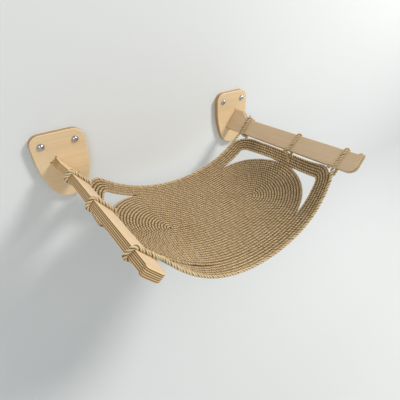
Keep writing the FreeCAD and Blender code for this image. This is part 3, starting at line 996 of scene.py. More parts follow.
@dataclass(frozen=True)
class Lashings:
    """Where the edge ropes and side ties go round the arms.

    The stations are how far from the wall a rope lies at each long edge of the arm that it bends round. The
    tuck angles say in degrees where round a corner of the mat an edge rope ends. The line of a knot leaves
    out knot_gap radians of its turn at each end.
    """

    arm: ArmBoard
    mat: MatShape
    edge_gap: float = 0.0008
    lash_gap: float = 0.0005
    bend: float = 0.006
    leave_run: float = 0.017
    leave_bend: float = 0.014
    tuck_gap: float = 0.0003
    tie_rim_inset: float = 0.005
    tie_inset: float = 0.020
    tie_run: float = 0.0075
    step: float = 0.001
    loose_shift: tuple[float, float, float] = (0.0, -0.006, 0.003)
    loose_way: tuple[float, float, float] = (0.0, -0.3, 1.0)
    knot_size: float = 0.0011
    knot_gap: float = 0.1
    knot_points: int = 90
    knots: dict[str, float] = field(default_factory=lambda: {"tie_knot": 0.270, "edge_knot": 0.408})
    tuck_angles: dict[tuple[End, Side], float] = field(
        default_factory=lambda: {
            (End.FRONT, Side.LEFT): 62.0,
            (End.FRONT, Side.RIGHT): 45.0,
            (End.BACK, Side.LEFT): 30.0,
            (End.BACK, Side.RIGHT): 45.0,
        }
    )
    tuck_runs: dict[tuple[End, Side], float] = field(
        default_factory=lambda: {
            (End.FRONT, Side.LEFT): 0.017,
            (End.FRONT, Side.RIGHT): 0.017,
            (End.BACK, Side.LEFT): 0.026,
            (End.BACK, Side.RIGHT): 0.017,
        }
    )
    edge_stations: dict[tuple[End, Side], list[float]] = field(
        default_factory=lambda: {
            (End.FRONT, Side.LEFT): [0.415, 0.417, 0.412, 0.409],
            (End.FRONT, Side.RIGHT): [0.420, 0.427, 0.425, 0.420],
            (End.BACK, Side.LEFT): [0.082, 0.0855, 0.0875, 0.0885, 0.0905, 0.094, 0.0965, 0.0975],
            (End.BACK, Side.RIGHT): [0.087, 0.091, 0.092, 0.093, 0.095, 0.099, 0.100, 0.101],
        }
    )
    tie_stations: dict[Side, list[float]] = field(
        default_factory=lambda: {
            Side.LEFT: [0.240, 0.236, 0.240, 0.244],
            Side.RIGHT: [0.279, 0.288, 0.284, 0.280],
        }
    )

    def corners(self, side: Side, stations: list[float]) -> list[Vector]:
        """Place where a rope bends round the arm's long edges.

        Args:
            side: Which arm.
            stations: How far from the wall each bend lies.

        Returns:
            The bends, from the inner face's lower edge.
        """
        off = self.mat.rope / 2 + self.lash_gap
        across, face = self.arm.width / 2 + off, self.arm.thickness / 2 + off
        edges = [(1, 1), (-1, 1), (-1, -1), (1, -1)]
        bends = []
        for index, station in enumerate(stations):
            lower, inner = edges[index % len(edges)]
            bends.append(self.arm.point(side, station, lower * across, inner * face))
        return bends

    def outer_quarter(self, side: Side, end: End) -> float:
        """Find after how many quarter turns the outermost row turns at a corner.

        Args:
            side: Which side of the mat.
            end: Which end of that side.

        Returns:
            The quarter turns, with a half for the corner.
        """
        steps = {
            (End.FRONT, Side.LEFT): 3,
            (End.FRONT, Side.RIGHT): 2,
            (End.BACK, Side.RIGHT): 1,
            (End.BACK, Side.LEFT): 0,
        }
        return self.mat.last_quarter() - steps[end, side] - 1 / 2

    def edge_half(self, side: Side, end: End, route: Route) -> Route:
        """Add one half of an edge rope: from the mat's middle, round the arm and under the corner.

        Args:
            side: Which arm.
            end: Which edge of the mat.
            route: An empty route.

        Returns:
            The same route, filled.
        """
        mat = self.mat
        quarter = self.outer_quarter(side, end)
        to_middle = 1 if side.value * end.value < 0 else -1
        space = mat.rope + self.edge_gap
        depth = end.value * (mat.offset(quarter + to_middle / 2) + space)
        middle = mat.point(0, depth), mat.way(0, depth, side.value, 0)
        shoulder_quarter = quarter + (1 / 2 - mat.shoulder_share) * to_middle
        shoulder = mat.shoulder_place(side, end, mat.offset(shoulder_quarter) + space, 1)
        corner, near = mat.corner_place(side, end, mat.offset(quarter) + space, 1)
        route.even(middle, shoulder)
        leave = route.meeting(shoulder, corner, near)
        way = route.arc(shoulder[0], shoulder[1], leave)
        angle = math.radians(self.tuck_angles[end, side])
        run, deep, _ = mat.corner_spot(side, end, mat.offset(quarter), angle)
        under = -mat.up(run, deep)
        tuck = mat.point(run, deep) + under * (mat.rope / 2 + self.tuck_gap)
        points = [leave, leave + way * self.leave_run] + self.corners(side, self.edge_stations[end, side])
        points += [tuck + under * self.tuck_runs[end, side], tuck]
        route.rounded(points, [self.leave_bend] + [self.bend] * (len(points) - 3))
        return route

    def loose_end(self) -> Place:
        """Return where a cut rope end shows on top of the right arm, and which way it points."""
        bend = self.corners(Side.RIGHT, self.edge_stations[End.BACK, Side.RIGHT])[1]
        return bend + Vector(self.loose_shift), Vector(self.loose_way)

    def knot_line(self, out: float) -> np.ndarray:
        """Find the middle line of a small knot at the lower edge of the right arm's inner face.

        Args:
            out: How far it lies from the wall.

        Returns:
            The line, a trefoil that reaches three sizes from its middle.
        """
        arm, off = self.arm, self.knot_size * 3
        middle = np.array(arm.point(Side.RIGHT, out, arm.width / 2 + off, arm.thickness / 2 + off))
        along = np.array((0.0, -1.0, 0.0))
        across = np.array((-math.cos(arm.lean), 0.0, -math.sin(arm.lean)))
        turn = np.linspace(self.knot_gap, math.tau - self.knot_gap, self.knot_points)[:, None]
        flat = (np.sin(turn) + 2 * np.sin(2 * turn)) * along
        flat = flat + (np.cos(turn) - 2 * np.cos(2 * turn)) * across
        return middle + self.knot_size * (flat - np.sin(3 * turn) * np.cross(along, across))

    def edge_line(self, end: End) -> np.ndarray:
        """Find the whole middle line of an edge rope.

        Args:
            end: Which edge of the mat.

        Returns:
            The line, from left to right.
        """
        left = self.edge_half(Side.LEFT, end, Route(self.step)).line()
        right = self.edge_half(Side.RIGHT, end, Route(self.step)).line()
        return np.concatenate([left[::-1], right[1:]])

    def tie_line(self, side: Side) -> np.ndarray:
        """Find the middle line of the tie at the middle of the mat's side.

        Args:
            side: Which side of the mat.

        Returns:
            The line.
        """
        mat = self.mat
        stations = self.tie_stations[side]
        last = mat.last_quarter()
        rim = mat.middle_run + mat.offset(last - 2 if side is Side.RIGHT else last)
        outer = side.value * (rim - self.tie_rim_inset)
        ends = []
        for run in (outer - side.value * self.tie_inset, outer):
            across = math.sin(mat.bend(0) * run) / mat.bend(0)
            depth = (stations[0] - mat.reach - across * math.tan(mat.skew)) / math.cos(mat.dip)
            up = mat.up(run, depth)
            seat = mat.point(run, depth) + up * (mat.rope / 2 + self.tuck_gap)
            ends.append([seat, seat + up * self.tie_run])
        (start, leave), (finish, arrive) = ends
        points = [start, leave] + self.corners(side, stations) + [arrive, finish]
        route = Route(self.step)
        route.rounded(points, [self.bend] * (len(points) - 2))
        return route.line()


def jute_piece(
    name: str, mesh: bpy.types.Mesh, finish: bpy.types.Material, node: str = ""
) -> bpy.types.Object:
    """Turn a mesh into a piece of jute that rides on the frame.

    Args:
        name: The piece's name.
        mesh: Its mesh.
        finish: Its material.
        node: The CAD node it stands for, or nothing.

    Returns:
        The piece.
    """
    mesh.materials.append(finish)
    piece = bpy.data.objects.new(name, mesh)
    bpy.context.collection.objects.link(piece)
    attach(piece, "root")
    if node:
        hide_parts(node)
    LOG.info("%s: %d faces", name, len(mesh.polygons))
    return piece


@dataclass(frozen=True)
class Tube:
    """One tube of a rope: its middle line and, at each point of it, half its width both ways."""

    middle: np.ndarray
    out: np.ndarray
    beside: np.ndarray

    def rings(self, sides: int) -> np.ndarray:
        """Work out the corners of the tube's rings.

        Args:
            sides: How many corners a ring has.

        Returns:
            The corners, ring by ring.
        """
        angles = np.arange(sides) * (math.tau / sides)
        across = np.cos(angles)[None, :, None] * self.out[:, None, :]
        return self.middle[:, None, :] + across + np.sin(angles)[None, :, None] * self.beside[:, None, :]


@dataclass(frozen=True)
class Rows:
    """The mat's rows, and where each of them has a neighbour.

    The place of a neighbour is one pitch away. It is surely there where a row lies within sure_share of a
    pitch of that place, and there is none where the nearest row is none_share of a pitch away.
    """

    shape: MatShape
    spots: KDTree
    sure_share: float = 0.4
    none_share: float = 0.8

    @classmethod
    def gather(cls, shape: MatShape, lines: list[np.ndarray]) -> "Rows":
        """Gather the ropes that lie side by side.

        Args:
            shape: The sheet that they lie in.
            lines: Their middle lines.

        Returns:
            The rows.
        """
        points = np.concatenate(lines)
        spots = KDTree(len(points))
        for index, point in enumerate(points):
            spots.insert(point, index)
        spots.balance()
        return cls(shape, spots)

    def beside(self, points: np.ndarray, aside: np.ndarray) -> np.ndarray:
        """Find how surely a row has a neighbour at a side.

        Args:
            points: Points of the row's middle line.
            aside: The way to the side at each point.

        Returns:
            A share for each point, 1 where a neighbour lies one pitch away.
        """
        pitch = self.shape.pitch
        far = np.array([self.spots.find(spot)[2] for spot in points + aside * pitch])
        return np.clip((self.none_share * pitch - far) / ((self.none_share - self.sure_share) * pitch), 0, 1)


@dataclass(frozen=True)
class RopeLay:
    """A laid rope: strands that wind round each other along a middle line.

    Its middle wanders in waves, its lay sways and its strands swell, as in rope that is laid by hand. On the
    mat it has a flat heart as well, which closes the gaps between the rows and shows their painted shade.
    """

    finish: bpy.types.Material
    diameter: float = 0.0084
    lay: float = 0.0198
    strands: int = 3
    strand_share: float = 0.58
    sides: int = 8
    step: float = 0.0024
    same_spot: float = 1e-7
    wander: float = 0.00014
    wander_share: float = 0.35
    waves: tuple[float, ...] = (0.021, 0.034, 0.057, 0.11)
    slow_ratio: float = 7.3
    still_run: float = 0.03
    sway: float = 0.2
    sway_wave: float = 0.083
    swell: float = 0.04
    swell_wave: float = 0.047
    end_shares: tuple[float, ...] = (0.45, 0.8, 0.95)
    first_side: tuple[float, float, float] = (0.3, 0.2, 0.9)
    seed: int = 1
    shape_seed_step: int = 7
    map_shift: float = 0.731
    cap_spot: float = 0.5
    rows: Rows | None = None
    heart_share: float = 0.31
    heart_free_share: float = 0.3
    heart_lap: float = 0.0006

    def even(self, line: np.ndarray) -> np.ndarray:
        """Space a line's points evenly and let them wander a little, as a hand lays rope.

        Args:
            line: Points of the middle line.

        Returns:
            Points one step apart.
        """
        runs = np.linalg.norm(np.diff(line, axis=0), axis=1)
        line = line[np.concatenate([[True], runs > self.same_spot])]
        along = np.concatenate([[0], np.cumsum(np.linalg.norm(np.diff(line, axis=0), axis=1))])
        count = max(3, int(round(along[-1] / self.step)) + 1)
        places = np.linspace(0, along[-1], count)
        points = np.stack([np.interp(places, along, line[:, axis]) for axis in range(3)], axis=1)
        chance = np.random.default_rng(self.seed)
        fade = np.clip(np.minimum(places, along[-1] - places) / self.still_run, 0, 1)[:, None]
        for wave in self.waves:
            aside = chance.normal(size=(3, 3))
            turn = places[:, None] * (math.tau / wave) + chance.uniform(0, math.tau, 3)
            slow = places[:, None] * (math.tau / (wave * self.slow_ratio)) + chance.uniform(0, math.tau, 3)
            points = points + fade * (np.sin(turn) * np.sin(slow)) @ aside * (self.wander * self.wander_share)
        return points

    def frames(self, points: np.ndarray) -> tuple[np.ndarray, np.ndarray]:
        """Carry a pair of side directions along a line with the least twist.

        Args:
            points: Points of the middle line.

        Returns:
            The two side directions at each point.
        """
        ways = np.gradient(points, axis=0)
        ways /= np.linalg.norm(ways, axis=1)[:, None]
        side = np.cross(ways[0], self.first_side)
        side /= np.linalg.norm(side)
        sides = [side]
        for index in range(1, len(points)):
            side = side - ways[index] * side.dot(ways[index])
            side = side / math.sqrt(side.dot(side))
            sides.append(side)
        first = np.array(sides)
        return first, np.cross(ways, first)

    def piece(
        self, name: str, line: np.ndarray, node: str = "", first: float = 0.0, last: float = 1.0
    ) -> bpy.types.Object:
        """Lay the rope along a line.

        Args:
            name: The piece's name.
            line: Points of the middle line.
            node: The CAD node it stands for, or nothing.
            first: The share of the line where the piece starts.
            last: The share where it ends.

        Returns:
            The piece, riding on the frame.
        """
        points = self.even(line)
        side, across = self.frames(points)
        places = np.arange(len(points)) * self.step
        part = slice(int(first * (len(points) - 1)), int(last * (len(points) - 1)) + 1)
        radius = self.diameter / 2
        chance = np.random.default_rng(self.seed + self.shape_seed_step)
        ends = len(self.end_shares)
        tubes = []
        for strand in range(self.strands):
            turn = places * (math.tau / self.lay) + math.tau * strand / self.strands
            sway = np.sin(places * (math.tau / self.sway_wave) + chance.uniform(0, math.tau))
            turn = turn + self.sway * sway
            out = np.cos(turn)[:, None] * side + np.sin(turn)[:, None] * across
            middle = points + out * (radius * (1 - self.strand_share))
            way = np.gradient(middle, axis=0)
            way /= np.linalg.norm(way, axis=1)[:, None]
            beside = np.cross(way, out)
            beside /= np.linalg.norm(beside, axis=1)[:, None]
            out = np.cross(beside, way)
            swell = np.sin(places * (math.tau / self.swell_wave) + chance.uniform(0, math.tau))
            thick = (1 + self.swell * swell) * radius * self.strand_share
            if first == 0:
                thick[:ends] *= self.end_shares
            if last == 1:
                thick[-ends:] *= self.end_shares[::-1]
            thick = thick[part, None]
            tubes.append(Tube(middle[part], out[part] * thick, beside[part] * thick))
        if self.rows:
            tubes.append(self.heart(points[part]))
        return self.mesh(name, tubes, points[part], places[part], node)

    def heart(self, line: np.ndarray) -> Tube:
        """Lay a flat tube in the rope that closes the gap to its neighbour rows and shows their painted
        shade.

        Args:
            line: The rope's middle line.

        Returns:
            The tube.
        """
        up, aside = self.sides_of(line)
        free = self.diameter * self.heart_free_share
        close = self.rows.shape.pitch / 2 + self.heart_lap
        right = free + (close - free) * self.rows.beside(line, aside)[:, None]
        left = free + (close - free) * self.rows.beside(line, -aside)[:, None]
        middle = line + aside * (right - left) / 2
        return Tube(middle, up * (self.diameter * self.heart_share), -aside * (right + left) / 2)

    def sides_of(self, line: np.ndarray) -> tuple[np.ndarray, np.ndarray]:
        """Find how the mat lies along a rope.

        Args:
            line: The rope's middle line.

        Returns:
            The mat's upward normals, and the ways to the rope's side in the mat.
        """
        ways = np.gradient(line, axis=0)
        up = self.rows.shape.ups(line)
        return up, np.cross(ways / np.linalg.norm(ways, axis=1)[:, None], up)

    def faces(self, rings: int, tubes: int) -> list[list[int]]:
        """List the faces of some closed tubes.

        Args:
            rings: How many rings a tube has.
            tubes: How many tubes there are.

        Returns:
            The corners of each face: each tube's walls, then its two ends.
        """
        low = np.arange(rings - 1)[:, None] * self.sides
        here = np.arange(self.sides)[None, :]
        after = (here + 1) % self.sides
        walls = [low + here, low + after, low + after + self.sides, low + here + self.sides]
        walls = np.stack(walls, axis=-1).reshape(-1, 4)
        caps = [np.arange(self.sides)[::-1], np.arange(self.sides) + (rings - 1) * self.sides]
        faces = []
        for index in range(tubes):
            base = index * rings * self.sides
            faces += (walls + base).tolist() + [(cap + base).tolist() for cap in caps]
        return faces

    def strand_map(self, places: np.ndarray, tubes: int) -> np.ndarray:
        """Say where each face's corners lie on their strand.

        Args:
            places: How far along the rope each ring lies.
            tubes: How many tubes there are.

        Returns:
            Metres along the strand and a share of a turn round it, in turn for each corner.
        """
        here = np.arange(self.sides)[None, :]
        grid = np.zeros((len(places) - 1, self.sides, 4, 2), dtype=np.float32)
        grid[:, :, :2, 0] = places[:-1, None, None]
        grid[:, :, 2:, 0] = places[1:, None, None]
        grid[:, :, 0, 1] = grid[:, :, 3, 1] = here / self.sides
        grid[:, :, 1, 1] = grid[:, :, 2, 1] = (here + 1) / self.sides
        caps = np.full((2 * self.sides, 2), self.cap_spot)
        maps = []
        for index in range(tubes):
            maps += [grid.reshape(-1, 2) + (self.map_shift * index, 0), caps]
        return np.concatenate(maps).reshape(-1)

    def crevice_shading(self, corners: np.ndarray, line: np.ndarray) -> np.ndarray:
        """Find how much painted shade the rope's corners take, by how deep they lie between two rows.

        Args:
            corners: The corners, tube by tube and ring by ring.
            line: The rope's middle line.

        Returns:
            A share for each corner, 1 level with the middle line and 0 on top of the row or at a free side.
        """
        if not self.rows:
            return np.zeros(len(corners), dtype=np.float32)
        up, aside = self.sides_of(line)
        off = corners.reshape(-1, len(line), self.sides, 3) - line[None, :, None, :]
        high = np.abs((off * up[None, :, None, :]).sum(axis=-1)) / (self.diameter / 2)
        to_right = (off * aside[None, :, None, :]).sum(axis=-1) > 0
        right = self.rows.beside(line, aside)[None, :, None]
        left = self.rows.beside(line, -aside)[None, :, None]
        return ((1 - high) * np.where(to_right, right, left)).reshape(-1)

    def mesh(
        self, name: str, tubes: list[Tube], line: np.ndarray, places: np.ndarray, node: str
    ) -> bpy.types.Object:
        """Turn the rope's tubes into one closed mesh.

        Args:
            name: The piece's name.
            tubes: The strands, and the heart where the rope has one.
            line: The rope's middle line.
            places: How far along the rope each of its points lies.
            node: The CAD node it stands for, or nothing.

        Returns:
            The piece.
        """
        corners = np.concatenate([tube.rings(self.sides).reshape(-1, 3) for tube in tubes])
        mesh = bpy.data.meshes.new(name)
        mesh.from_pydata(corners, [], self.faces(len(line), len(tubes)))
        strand = mesh.uv_layers.new(name="strand")
        strand.data.foreach_set("uv", self.strand_map(places, len(tubes)))
        # Painted shade between the rows, which the jute finish reads.
        crevice_shade = mesh.attributes.new("crevice_shade", "FLOAT", "POINT")
        crevice_shade.data.foreach_set("value", self.crevice_shading(corners, line))
        mesh.polygons.foreach_set("use_smooth", np.ones(len(mesh.polygons), dtype=bool))
        return jute_piece(name, mesh, self.finish, node)


@dataclass(frozen=True)
class LashingLay(RopeLay):
    """The rope round the arms, with a longer lay than the mat's."""

    lay: float = 0.0246
    strand_share: float = 0.57
    sides: int = 10
    step: float = 0.0015
    seed: int = 11


@dataclass(frozen=True)
class KnotLay(RopeLay):
    """The thin cord of the small knots."""

    diameter: float = 0.0044
    lay: float = 0.012
    step: float = 0.0008
    wander: float = 0.0
    seed: int = 3


@dataclass(frozen=True)
class RopeMat:
    """The mat: one rope coiled about a middle line, and one laid round it out to four corners.

    Each rope is laid in a few pieces, because the export thins a larger one. The shares say where along its
    rope a piece starts and ends.
    """

    shape: MatShape
    pieces: tuple[tuple[str, str, float, float], ...] = (
        ("coil_heart", "mat_coil", 0.0, 0.34),
        ("coil_middle", "mat_coil", 0.34, 0.67),
        ("coil_rim", "mat_coil", 0.67, 1.0),
        ("border_inner_rows", "mat_border", 0.0, 0.5),
        ("border_outer_rows", "mat_border", 0.5, 1.0),
    )

    def coil_line(self) -> np.ndarray:
        """Find the coil's middle line.

        Returns:
            The line, from the coil's heart outwards.
        """
        mat = self.shape
        route = Route()
        first = mat.point(-mat.middle_run, 0), mat.way(-mat.middle_run, 0, 1, 0)
        begin = first[0] + first[1] * mat.rope
        route.arc(first[0], first[1], begin)
        route.even((begin, first[1]), mat.middle_place(0))
        last = mat.middle_place(4 * mat.coil_turns)
        finish = last[0] - last[1] * mat.rope, last[1]
        for quarter in range(4 * mat.coil_turns):
            to_side = quarter % 2 == 0
            near = mat.offset(quarter + 1 if to_side else quarter)
            after = finish if quarter + 1 == 4 * mat.coil_turns else mat.middle_place(quarter + 1)
            route.biarc(mat.middle_place(quarter), after, near, not to_side)
        route.arc(finish[0], finish[1], last[0])
        route.points.append(last[0])
        return route.line()

    def border_line(self) -> np.ndarray:
        """Find the border's middle line.

        Returns:
            The line, from the coil's end to under the left arm.
        """
        mat = self.shape
        route = Route()
        corners = [
            (Side.RIGHT, End.FRONT, 1),
            (Side.RIGHT, End.BACK, -1),
            (Side.LEFT, End.BACK, 1),
            (Side.LEFT, End.FRONT, -1),
        ]
        for quarter in range(4 * mat.coil_turns, mat.last_quarter()):
            side, end, towards = corners[quarter % 4]
            corner, near = mat.corner_place(side, end, mat.offset(quarter + 1 / 2), towards)
            before, after = mat.middle_place(quarter), mat.middle_place(quarter + 1)
            share = mat.shoulder_share if towards > 0 else 1 - mat.shoulder_share
            shoulder = mat.shoulder_place(side, end, mat.offset(quarter + share), towards)
            if towards > 0:
                route.even(before, shoulder)
                route.biarc(shoulder, corner, near)
                route.biarc(corner, after, near, True)
            else:
                route.biarc(before, corner, near)
                route.biarc(corner, shoulder, near, True)
                route.even(shoulder, after)
        route.points.append(after[0])
        return route.line()

    def build(self, lay: RopeLay, lines: dict[str, np.ndarray]) -> None:
        """Lay both ropes.

        Args:
            lay: The rope.
            lines: The middle line of each CAD node's rope.
        """
        for name, node, first, last in self.pieces:
            lay.piece(name, lines[node], node, first, last)


@dataclass(frozen=True)
class StrayFibres:
    """Fine hairs that stand off the ropes.

    stand and trail say how strongly a hair leans out from its rope and along it. bend says how far its curl
    pulls its tip aside, as a share of its length, and nudge keeps its cross-section from vanishing.
    """

    finish: bpy.types.Material
    length: tuple[float, float] = (0.004, 0.011)
    width: float = 0.00016
    parts: int = 4
    thinning: float = 0.7
    seed: int = 5
    seat_share: float = 0.42
    stand: tuple[float, float] = (0.35, 1.0)
    trail: float = 0.9
    curl: float = 0.5
    bend: float = 0.35
    nudge: float = 0.01
    coil_count: int = 900
    border_count: int = 500
    edge_count: int = 110
    tie_count: int = 30

    def build(self, name: str, lines: list[tuple[np.ndarray, int]], rope: float) -> bpy.types.Object:
        """Set hairs along some ropes.

        Args:
            name: The piece's name.
            lines: Each rope's middle line and how many hairs it has.
            rope: The ropes' diameter.

        Returns:
            One piece with all the hairs.
        """
        chance = np.random.default_rng(self.seed)
        corners, faces = [], []
        for line, count in lines:
            for index in chance.integers(2, len(line) - 2, count):
                way = line[index + 1] - line[index - 1]
                way /= np.linalg.norm(way)
                out = chance.normal(size=3)
                out -= way * out.dot(way)
                out /= np.linalg.norm(out)
                lean = out * chance.uniform(*self.stand) + way * chance.normal() * self.trail
                base = line[index] + out * rope * self.seat_share
                self.hair(corners, faces, base, lean, out, chance)
        return self.piece(name, corners, faces)

    def hair(
        self,
        corners: list[np.ndarray],
        faces: list[list[int]],
        base: np.ndarray,
        lean: np.ndarray,
        out: np.ndarray,
        chance: np.random.Generator,
    ) -> None:
        """Add one three-sided hair that bends and thins to a point.

        Args:
            corners: The corners so far.
            faces: The faces so far.
            base: Where the hair starts.
            lean: Which way it starts.
            out: Which way its rope's surface looks there.
            chance: Where its curl and its length come from.
        """
        lean = lean / np.linalg.norm(lean)
        curl = chance.normal(size=3) * self.curl
        size = chance.uniform(*self.length)
        first = len(corners)
        side = np.cross(lean, out + self.nudge)
        side /= np.linalg.norm(side)
        other = np.cross(lean, side)
        for part in range(self.parts):
            share = part / self.parts
            spot = base + lean * size * share + curl * size * self.bend * share**2
            for corner in range(3):
                angle = math.tau * corner / 3
                reach = self.width / 2 * (1 - self.thinning * share)
                corners.append(spot + (side * math.cos(angle) + other * math.sin(angle)) * reach)
            if part:
                low = first + (part - 1) * 3
                for corner in range(3):
                    after = (corner + 1) % 3
                    faces.append([low + corner, low + after, low + after + 3, low + corner + 3])
        corners.append(base + lean * size + curl * size * self.bend)
        tip = len(corners) - 1
        low = tip - 3
        faces += [[low, low + 1, tip], [low + 1, low + 2, tip], [low + 2, low, tip]]
        faces.append([first + 2, first + 1, first])

    def piece(self, name: str, corners: list[np.ndarray], faces: list[list[int]]) -> bpy.types.Object:
        """Make one piece of the hairs gathered so far.

        Args:
            name: The piece's name.
            corners: The hairs' corners.
            faces: Their faces.

        Returns:
            The piece, which shows the middle of a strand all over.
        """
        mesh = bpy.data.meshes.new(name)
        mesh.from_pydata(corners, [], faces)
        strand = mesh.uv_layers.new(name="strand")
        strand.data.foreach_set("uv", np.zeros(2 * len(mesh.loops), dtype=np.float32))
        return jute_piece(name, mesh, self.finish)


@dataclass(frozen=True)
class FrayedEnd(StrayFibres):
    """The bunch of thick fibres at a cut rope end.

    spread says how wide the bunch starts, and splay how strongly its fibres lean apart.
    """

    length: tuple[float, float] = (0.005, 0.009)
    width: float = 0.0007
    count: int = 30
    spread: float = 0.0014
    splay: float = 0.3

    def fray(self, name: str, end: Place) -> bpy.types.Object:
        """Set a bunch of fibres at a cut rope end.

        Args:
            name: The piece's name.
            end: Where the end is and which way it points.

        Returns:
            One piece with the whole bunch.
        """
        chance = np.random.default_rng(self.seed)
        corners, faces = [], []
        spot, way = np.array(end[0]), np.array(end[1].normalized())
        for _ in range(self.count):
            out = chance.normal(size=3)
            base = spot + out * self.spread
            self.hair(corners, faces, base, way + out * self.splay, out, chance)
        return self.piece(name, corners, faces)


@dataclass(frozen=True)
class Lamp:
    """A soft round lamp: its place, what it points at, its width, its watts and its colour."""

    name: str
    spot: tuple[float, float, float]
    aim: tuple[float, float, float]
    size: float
    power: float
    colour: tuple[float, float, float]

    def build(self) -> None:
        """Hang the lamp."""
        data = bpy.data.lights.new(self.name, "AREA")
        data.shape = "DISK"
        data.size = self.size
        data.energy = self.power
        data.color = self.colour
        lamp = bpy.data.objects.new(self.name, data)
        lamp.location = self.spot
        lamp.rotation_mode = "QUATERNION"
        lamp.rotation_quaternion = (Vector(self.aim) - Vector(self.spot)).to_track_quat("-Z", "Y")
        bpy.context.collection.objects.link(lamp)


@dataclass(frozen=True)
class Room:
    """A plain wall and floor, the camera and the lights.

    The camera was fitted to a picture of 400 by 400 pixels, so its lens and its middle are in pixels.
    """

    wall_half: float = 3.0
    wall_gap: float = 0.0006
    ceiling: float = 3.0
    floor: float = -1.0
    floor_length: float = 4.5
    cove: float = 0.5
    cove_steps: int = 16
    focal_pixels: float = 285.2
    picture: float = 400.0
    centre_x: float = 198.5
    centre_y: float = 201.5
    sensor_mm: float = 36.0
    nearest: float = 0.01
    farthest: float = 50.0
    eye: tuple[float, float, float] = (-0.3876, -0.7402, 0.3200)
    yaw: float = math.radians(35.1)
    pitch: float = math.radians(33.5)
    roll: float = math.radians(-2.7)
    main_lamp: Lamp = Lamp("main", (1.9, -1.6, 1.9), (0.0, -0.2, 0.0), 0.8, 72, (1.0, 0.985, 0.96))
    fill_lamp: Lamp = Lamp("fill", (-1.6, -1.8, 1.0), (0.0, -0.2, -0.1), 2.0, 15, (0.97, 0.985, 1.0))
    sky: Colour = (0.95, 0.97, 1.0, 1.0)
    sky_strength: float = 0.46

    def backdrop(self) -> None:
        """Add the wall and floor as one sheet with a round cove between them."""
        bpy.ops.object.select_all(action="DESELECT")
        square = math.radians(90)
        height = self.ceiling - self.floor - self.cove
        place = (0, self.wall_gap, self.ceiling - height / 2)
        bpy.ops.mesh.primitive_plane_add(size=1, location=place, rotation=(square, 0, 0))
        sheet = bpy.context.object
        sheet.name = "backdrop"
        sheet.scale = (2 * self.wall_half, height, 1)
        bpy.ops.object.transform_apply(location=True, rotation=True, scale=True)
        bpy.ops.object.mode_set(mode="EDIT")
        bpy.ops.mesh.select_all(action="DESELECT")
        bpy.ops.mesh.select_mode(type="EDGE")
        bpy.ops.object.mode_set(mode="OBJECT")
        low = self.floor + self.cove + self.cove / self.cove_steps / 2
        for edge in sheet.data.edges:
            edge.select = all(sheet.data.vertices[index].co.z < low for index in edge.vertices)
        bpy.ops.object.mode_set(mode="EDIT")
        turn = square / self.cove_steps
        for index in range(self.cove_steps):
            before, after = turn * index, turn * (index + 1)
            out = self.cove * (math.cos(after) - math.cos(before))
            down = self.cove * (math.sin(before) - math.sin(after))
            bpy.ops.mesh.extrude_region_move(TRANSFORM_OT_translate={"value": (0, out, down)})
        bpy.ops.mesh.extrude_region_move(TRANSFORM_OT_translate={"value": (0, -self.floor_length, 0)})
        bpy.ops.object.mode_set(mode="OBJECT")
        if sheet.data.polygons[0].normal.y > 0:
            sheet.data.flip_normals()
        bpy.ops.object.shade_smooth()
        sheet.data.materials.append(PaintFinish().material())

    def camera(self) -> None:
        """Set the camera at the photograph's viewpoint."""
        data = bpy.data.cameras.new("eye")
        data.sensor_width = self.sensor_mm
        data.lens = self.focal_pixels / self.picture * self.sensor_mm
        data.shift_x = (self.picture / 2 - self.centre_x) / self.picture
        data.shift_y = (self.centre_y - self.picture / 2) / self.picture
        data.clip_start = self.nearest
        data.clip_end = self.farthest
        level = math.cos(self.pitch)
        ahead = Vector((math.sin(self.yaw) * level, math.cos(self.yaw) * level, -math.sin(self.pitch)))
        right = Vector((math.cos(self.yaw), -math.sin(self.yaw), 0))
        above = right.cross(ahead)
        turned = right * math.cos(self.roll) + above * math.sin(self.roll)
        above = above * math.cos(self.roll) - right * math.sin(self.roll)
        pose = Matrix((turned, above, -ahead)).transposed().to_4x4()
        pose.translation = self.eye
        eye = bpy.data.objects.new("eye", data)
        eye.matrix_world = pose
        bpy.context.collection.objects.link(eye)
        bpy.context.scene.camera = eye

    def lights(self) -> None:
        """Add a soft main lamp from the right, a weak fill and an even sky."""
        self.main_lamp.build()
        self.fill_lamp.build()
        world = bpy.data.worlds.new("sky")
        world.use_nodes = True
        back = world.node_tree.nodes["Background"]
        back.inputs["Color"].default_value = self.sky
        back.inputs["Strength"].default_value = self.sky_strength
        bpy.context.scene.world = world
        bpy.context.scene.view_settings.view_transform = "Standard"


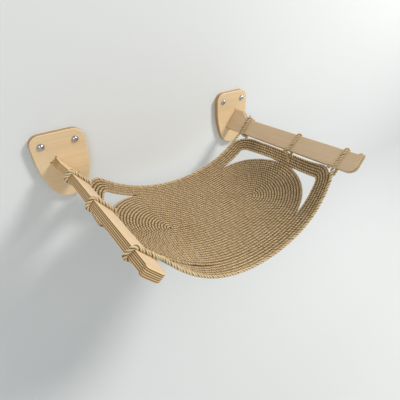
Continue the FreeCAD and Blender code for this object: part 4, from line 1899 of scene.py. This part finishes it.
@dataclass(frozen=True)
class Boards:
    """The plywood pieces and the small parts, which keep their CAD shapes."""

    arm: ArmBoard
    plate_thickness: float = 0.015
    plate_plies: int = 9
    arm_light: Colour = tone(222, 196, 160)
    arm_dark: Colour = tone(208, 178, 140)
    left_knot: tuple[float, float] = (0.049, -0.02)
    chrome: MetalFinish = MetalFinish(
        "chrome", (0.5, 0.5, 0.53, 1.0), Grain(220.0, 4, 0.6), Fade(NOISE_LOW, NOISE_HIGH, 0.05, 0.12)
    )
    zinc: MetalFinish = MetalFinish(
        "zinc", (0.62, 0.63, 0.66, 1.0), Grain(600.0, 4, 0.6), Fade(NOISE_LOW, NOISE_HIGH, 0.3, 0.45)
    )

    def arm_plywood(self, name: str, cut: Cut, knot: tuple[float, float] | None = None) -> bpy.types.Material:
        """Make the plywood of an arm.

        Args:
            name: The material's name.
            cut: Which arm.
            knot: Where its veneer has a small knot, along the grain and across it.

        Returns:
            The material.
        """
        arm = self.arm
        return PlywoodFinish(
            name,
            cut,
            arm.thickness,
            arm.plies,
            arm.lean,
            arm.spacing,
            face_light=self.arm_light,
            face_dark=self.arm_dark,
            knot=knot,
        ).material()

    def plate_plywood(self, name: str) -> bpy.types.Material:
        """Make the plywood of the wall plates."""
        return PlywoodFinish(name, Cut.PLATE, self.plate_thickness, self.plate_plies).material()

    def dress(self) -> None:
        """Give each CAD node that stays in sight its finish."""
        zinc = self.zinc.material()
        finishes = {
            "arm_left": self.arm_plywood("plywood left arm", Cut.ARM_LEFT, self.left_knot),
            "arm_right": self.arm_plywood("plywood right arm", Cut.ARM_RIGHT),
            "wall_plate": self.plate_plywood("plywood plate"),
            "screw_cover": self.chrome.material(),
            "screw_left": zinc,
            "screw_right": zinc,
            "wall_plug": NylonFinish().material(),
        }
        for name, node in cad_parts.items():
            for start, finish in finishes.items():
                if name.startswith(start):
                    node.data.materials.clear()
                    node.data.materials.append(finish)
                    LOG.info("%s: %s", name, finish.name)


def main() -> None:
    """Build the hammock, its room and its camera."""
    logging.basicConfig(level=logging.INFO, format="%(message)s")
    arm, shape = ArmBoard(), MatShape()
    Boards(arm).dress()
    mat, lashings = RopeMat(shape), Lashings(arm, shape)
    coil, border = mat.coil_line(), mat.border_line()
    edges = {"front": lashings.edge_line(End.FRONT), "back": lashings.edge_line(End.BACK)}
    ties = {"left": lashings.tie_line(Side.LEFT), "right": lashings.tie_line(Side.RIGHT)}
    rows = Rows.gather(shape, [coil, border, *edges.values()])
    mat.build(RopeLay(JuteFinish().material(), rows=rows), {"mat_coil": coil, "mat_border": border})
    pale = PaleJuteFinish().material()
    lay = LashingLay(pale)
    for word, line in edges.items():
        lay.piece(f"{word}_edge_rope", line, f"edge_rope_{word}")
    for word, line in ties.items():
        lay.piece(f"{word}_side_tie", line, f"side_tie_{word}")
    fibres = StrayFibres(pale)
    hairs = [(coil, fibres.coil_count), (border, fibres.border_count)]
    hairs += [(line, fibres.edge_count) for line in edges.values()]
    hairs += [(line, fibres.tie_count) for line in ties.values()]
    fibres.build("stray_fibres", hairs, lay.diameter)
    FrayedEnd(pale).fray("frayed_end", lashings.loose_end())
    for name, out in lashings.knots.items():
        KnotLay(pale).piece(name, lashings.knot_line(out))
    room = Room()
    room.backdrop()
    room.camera()
    room.lights()


if __name__ == "__main__":
    main()
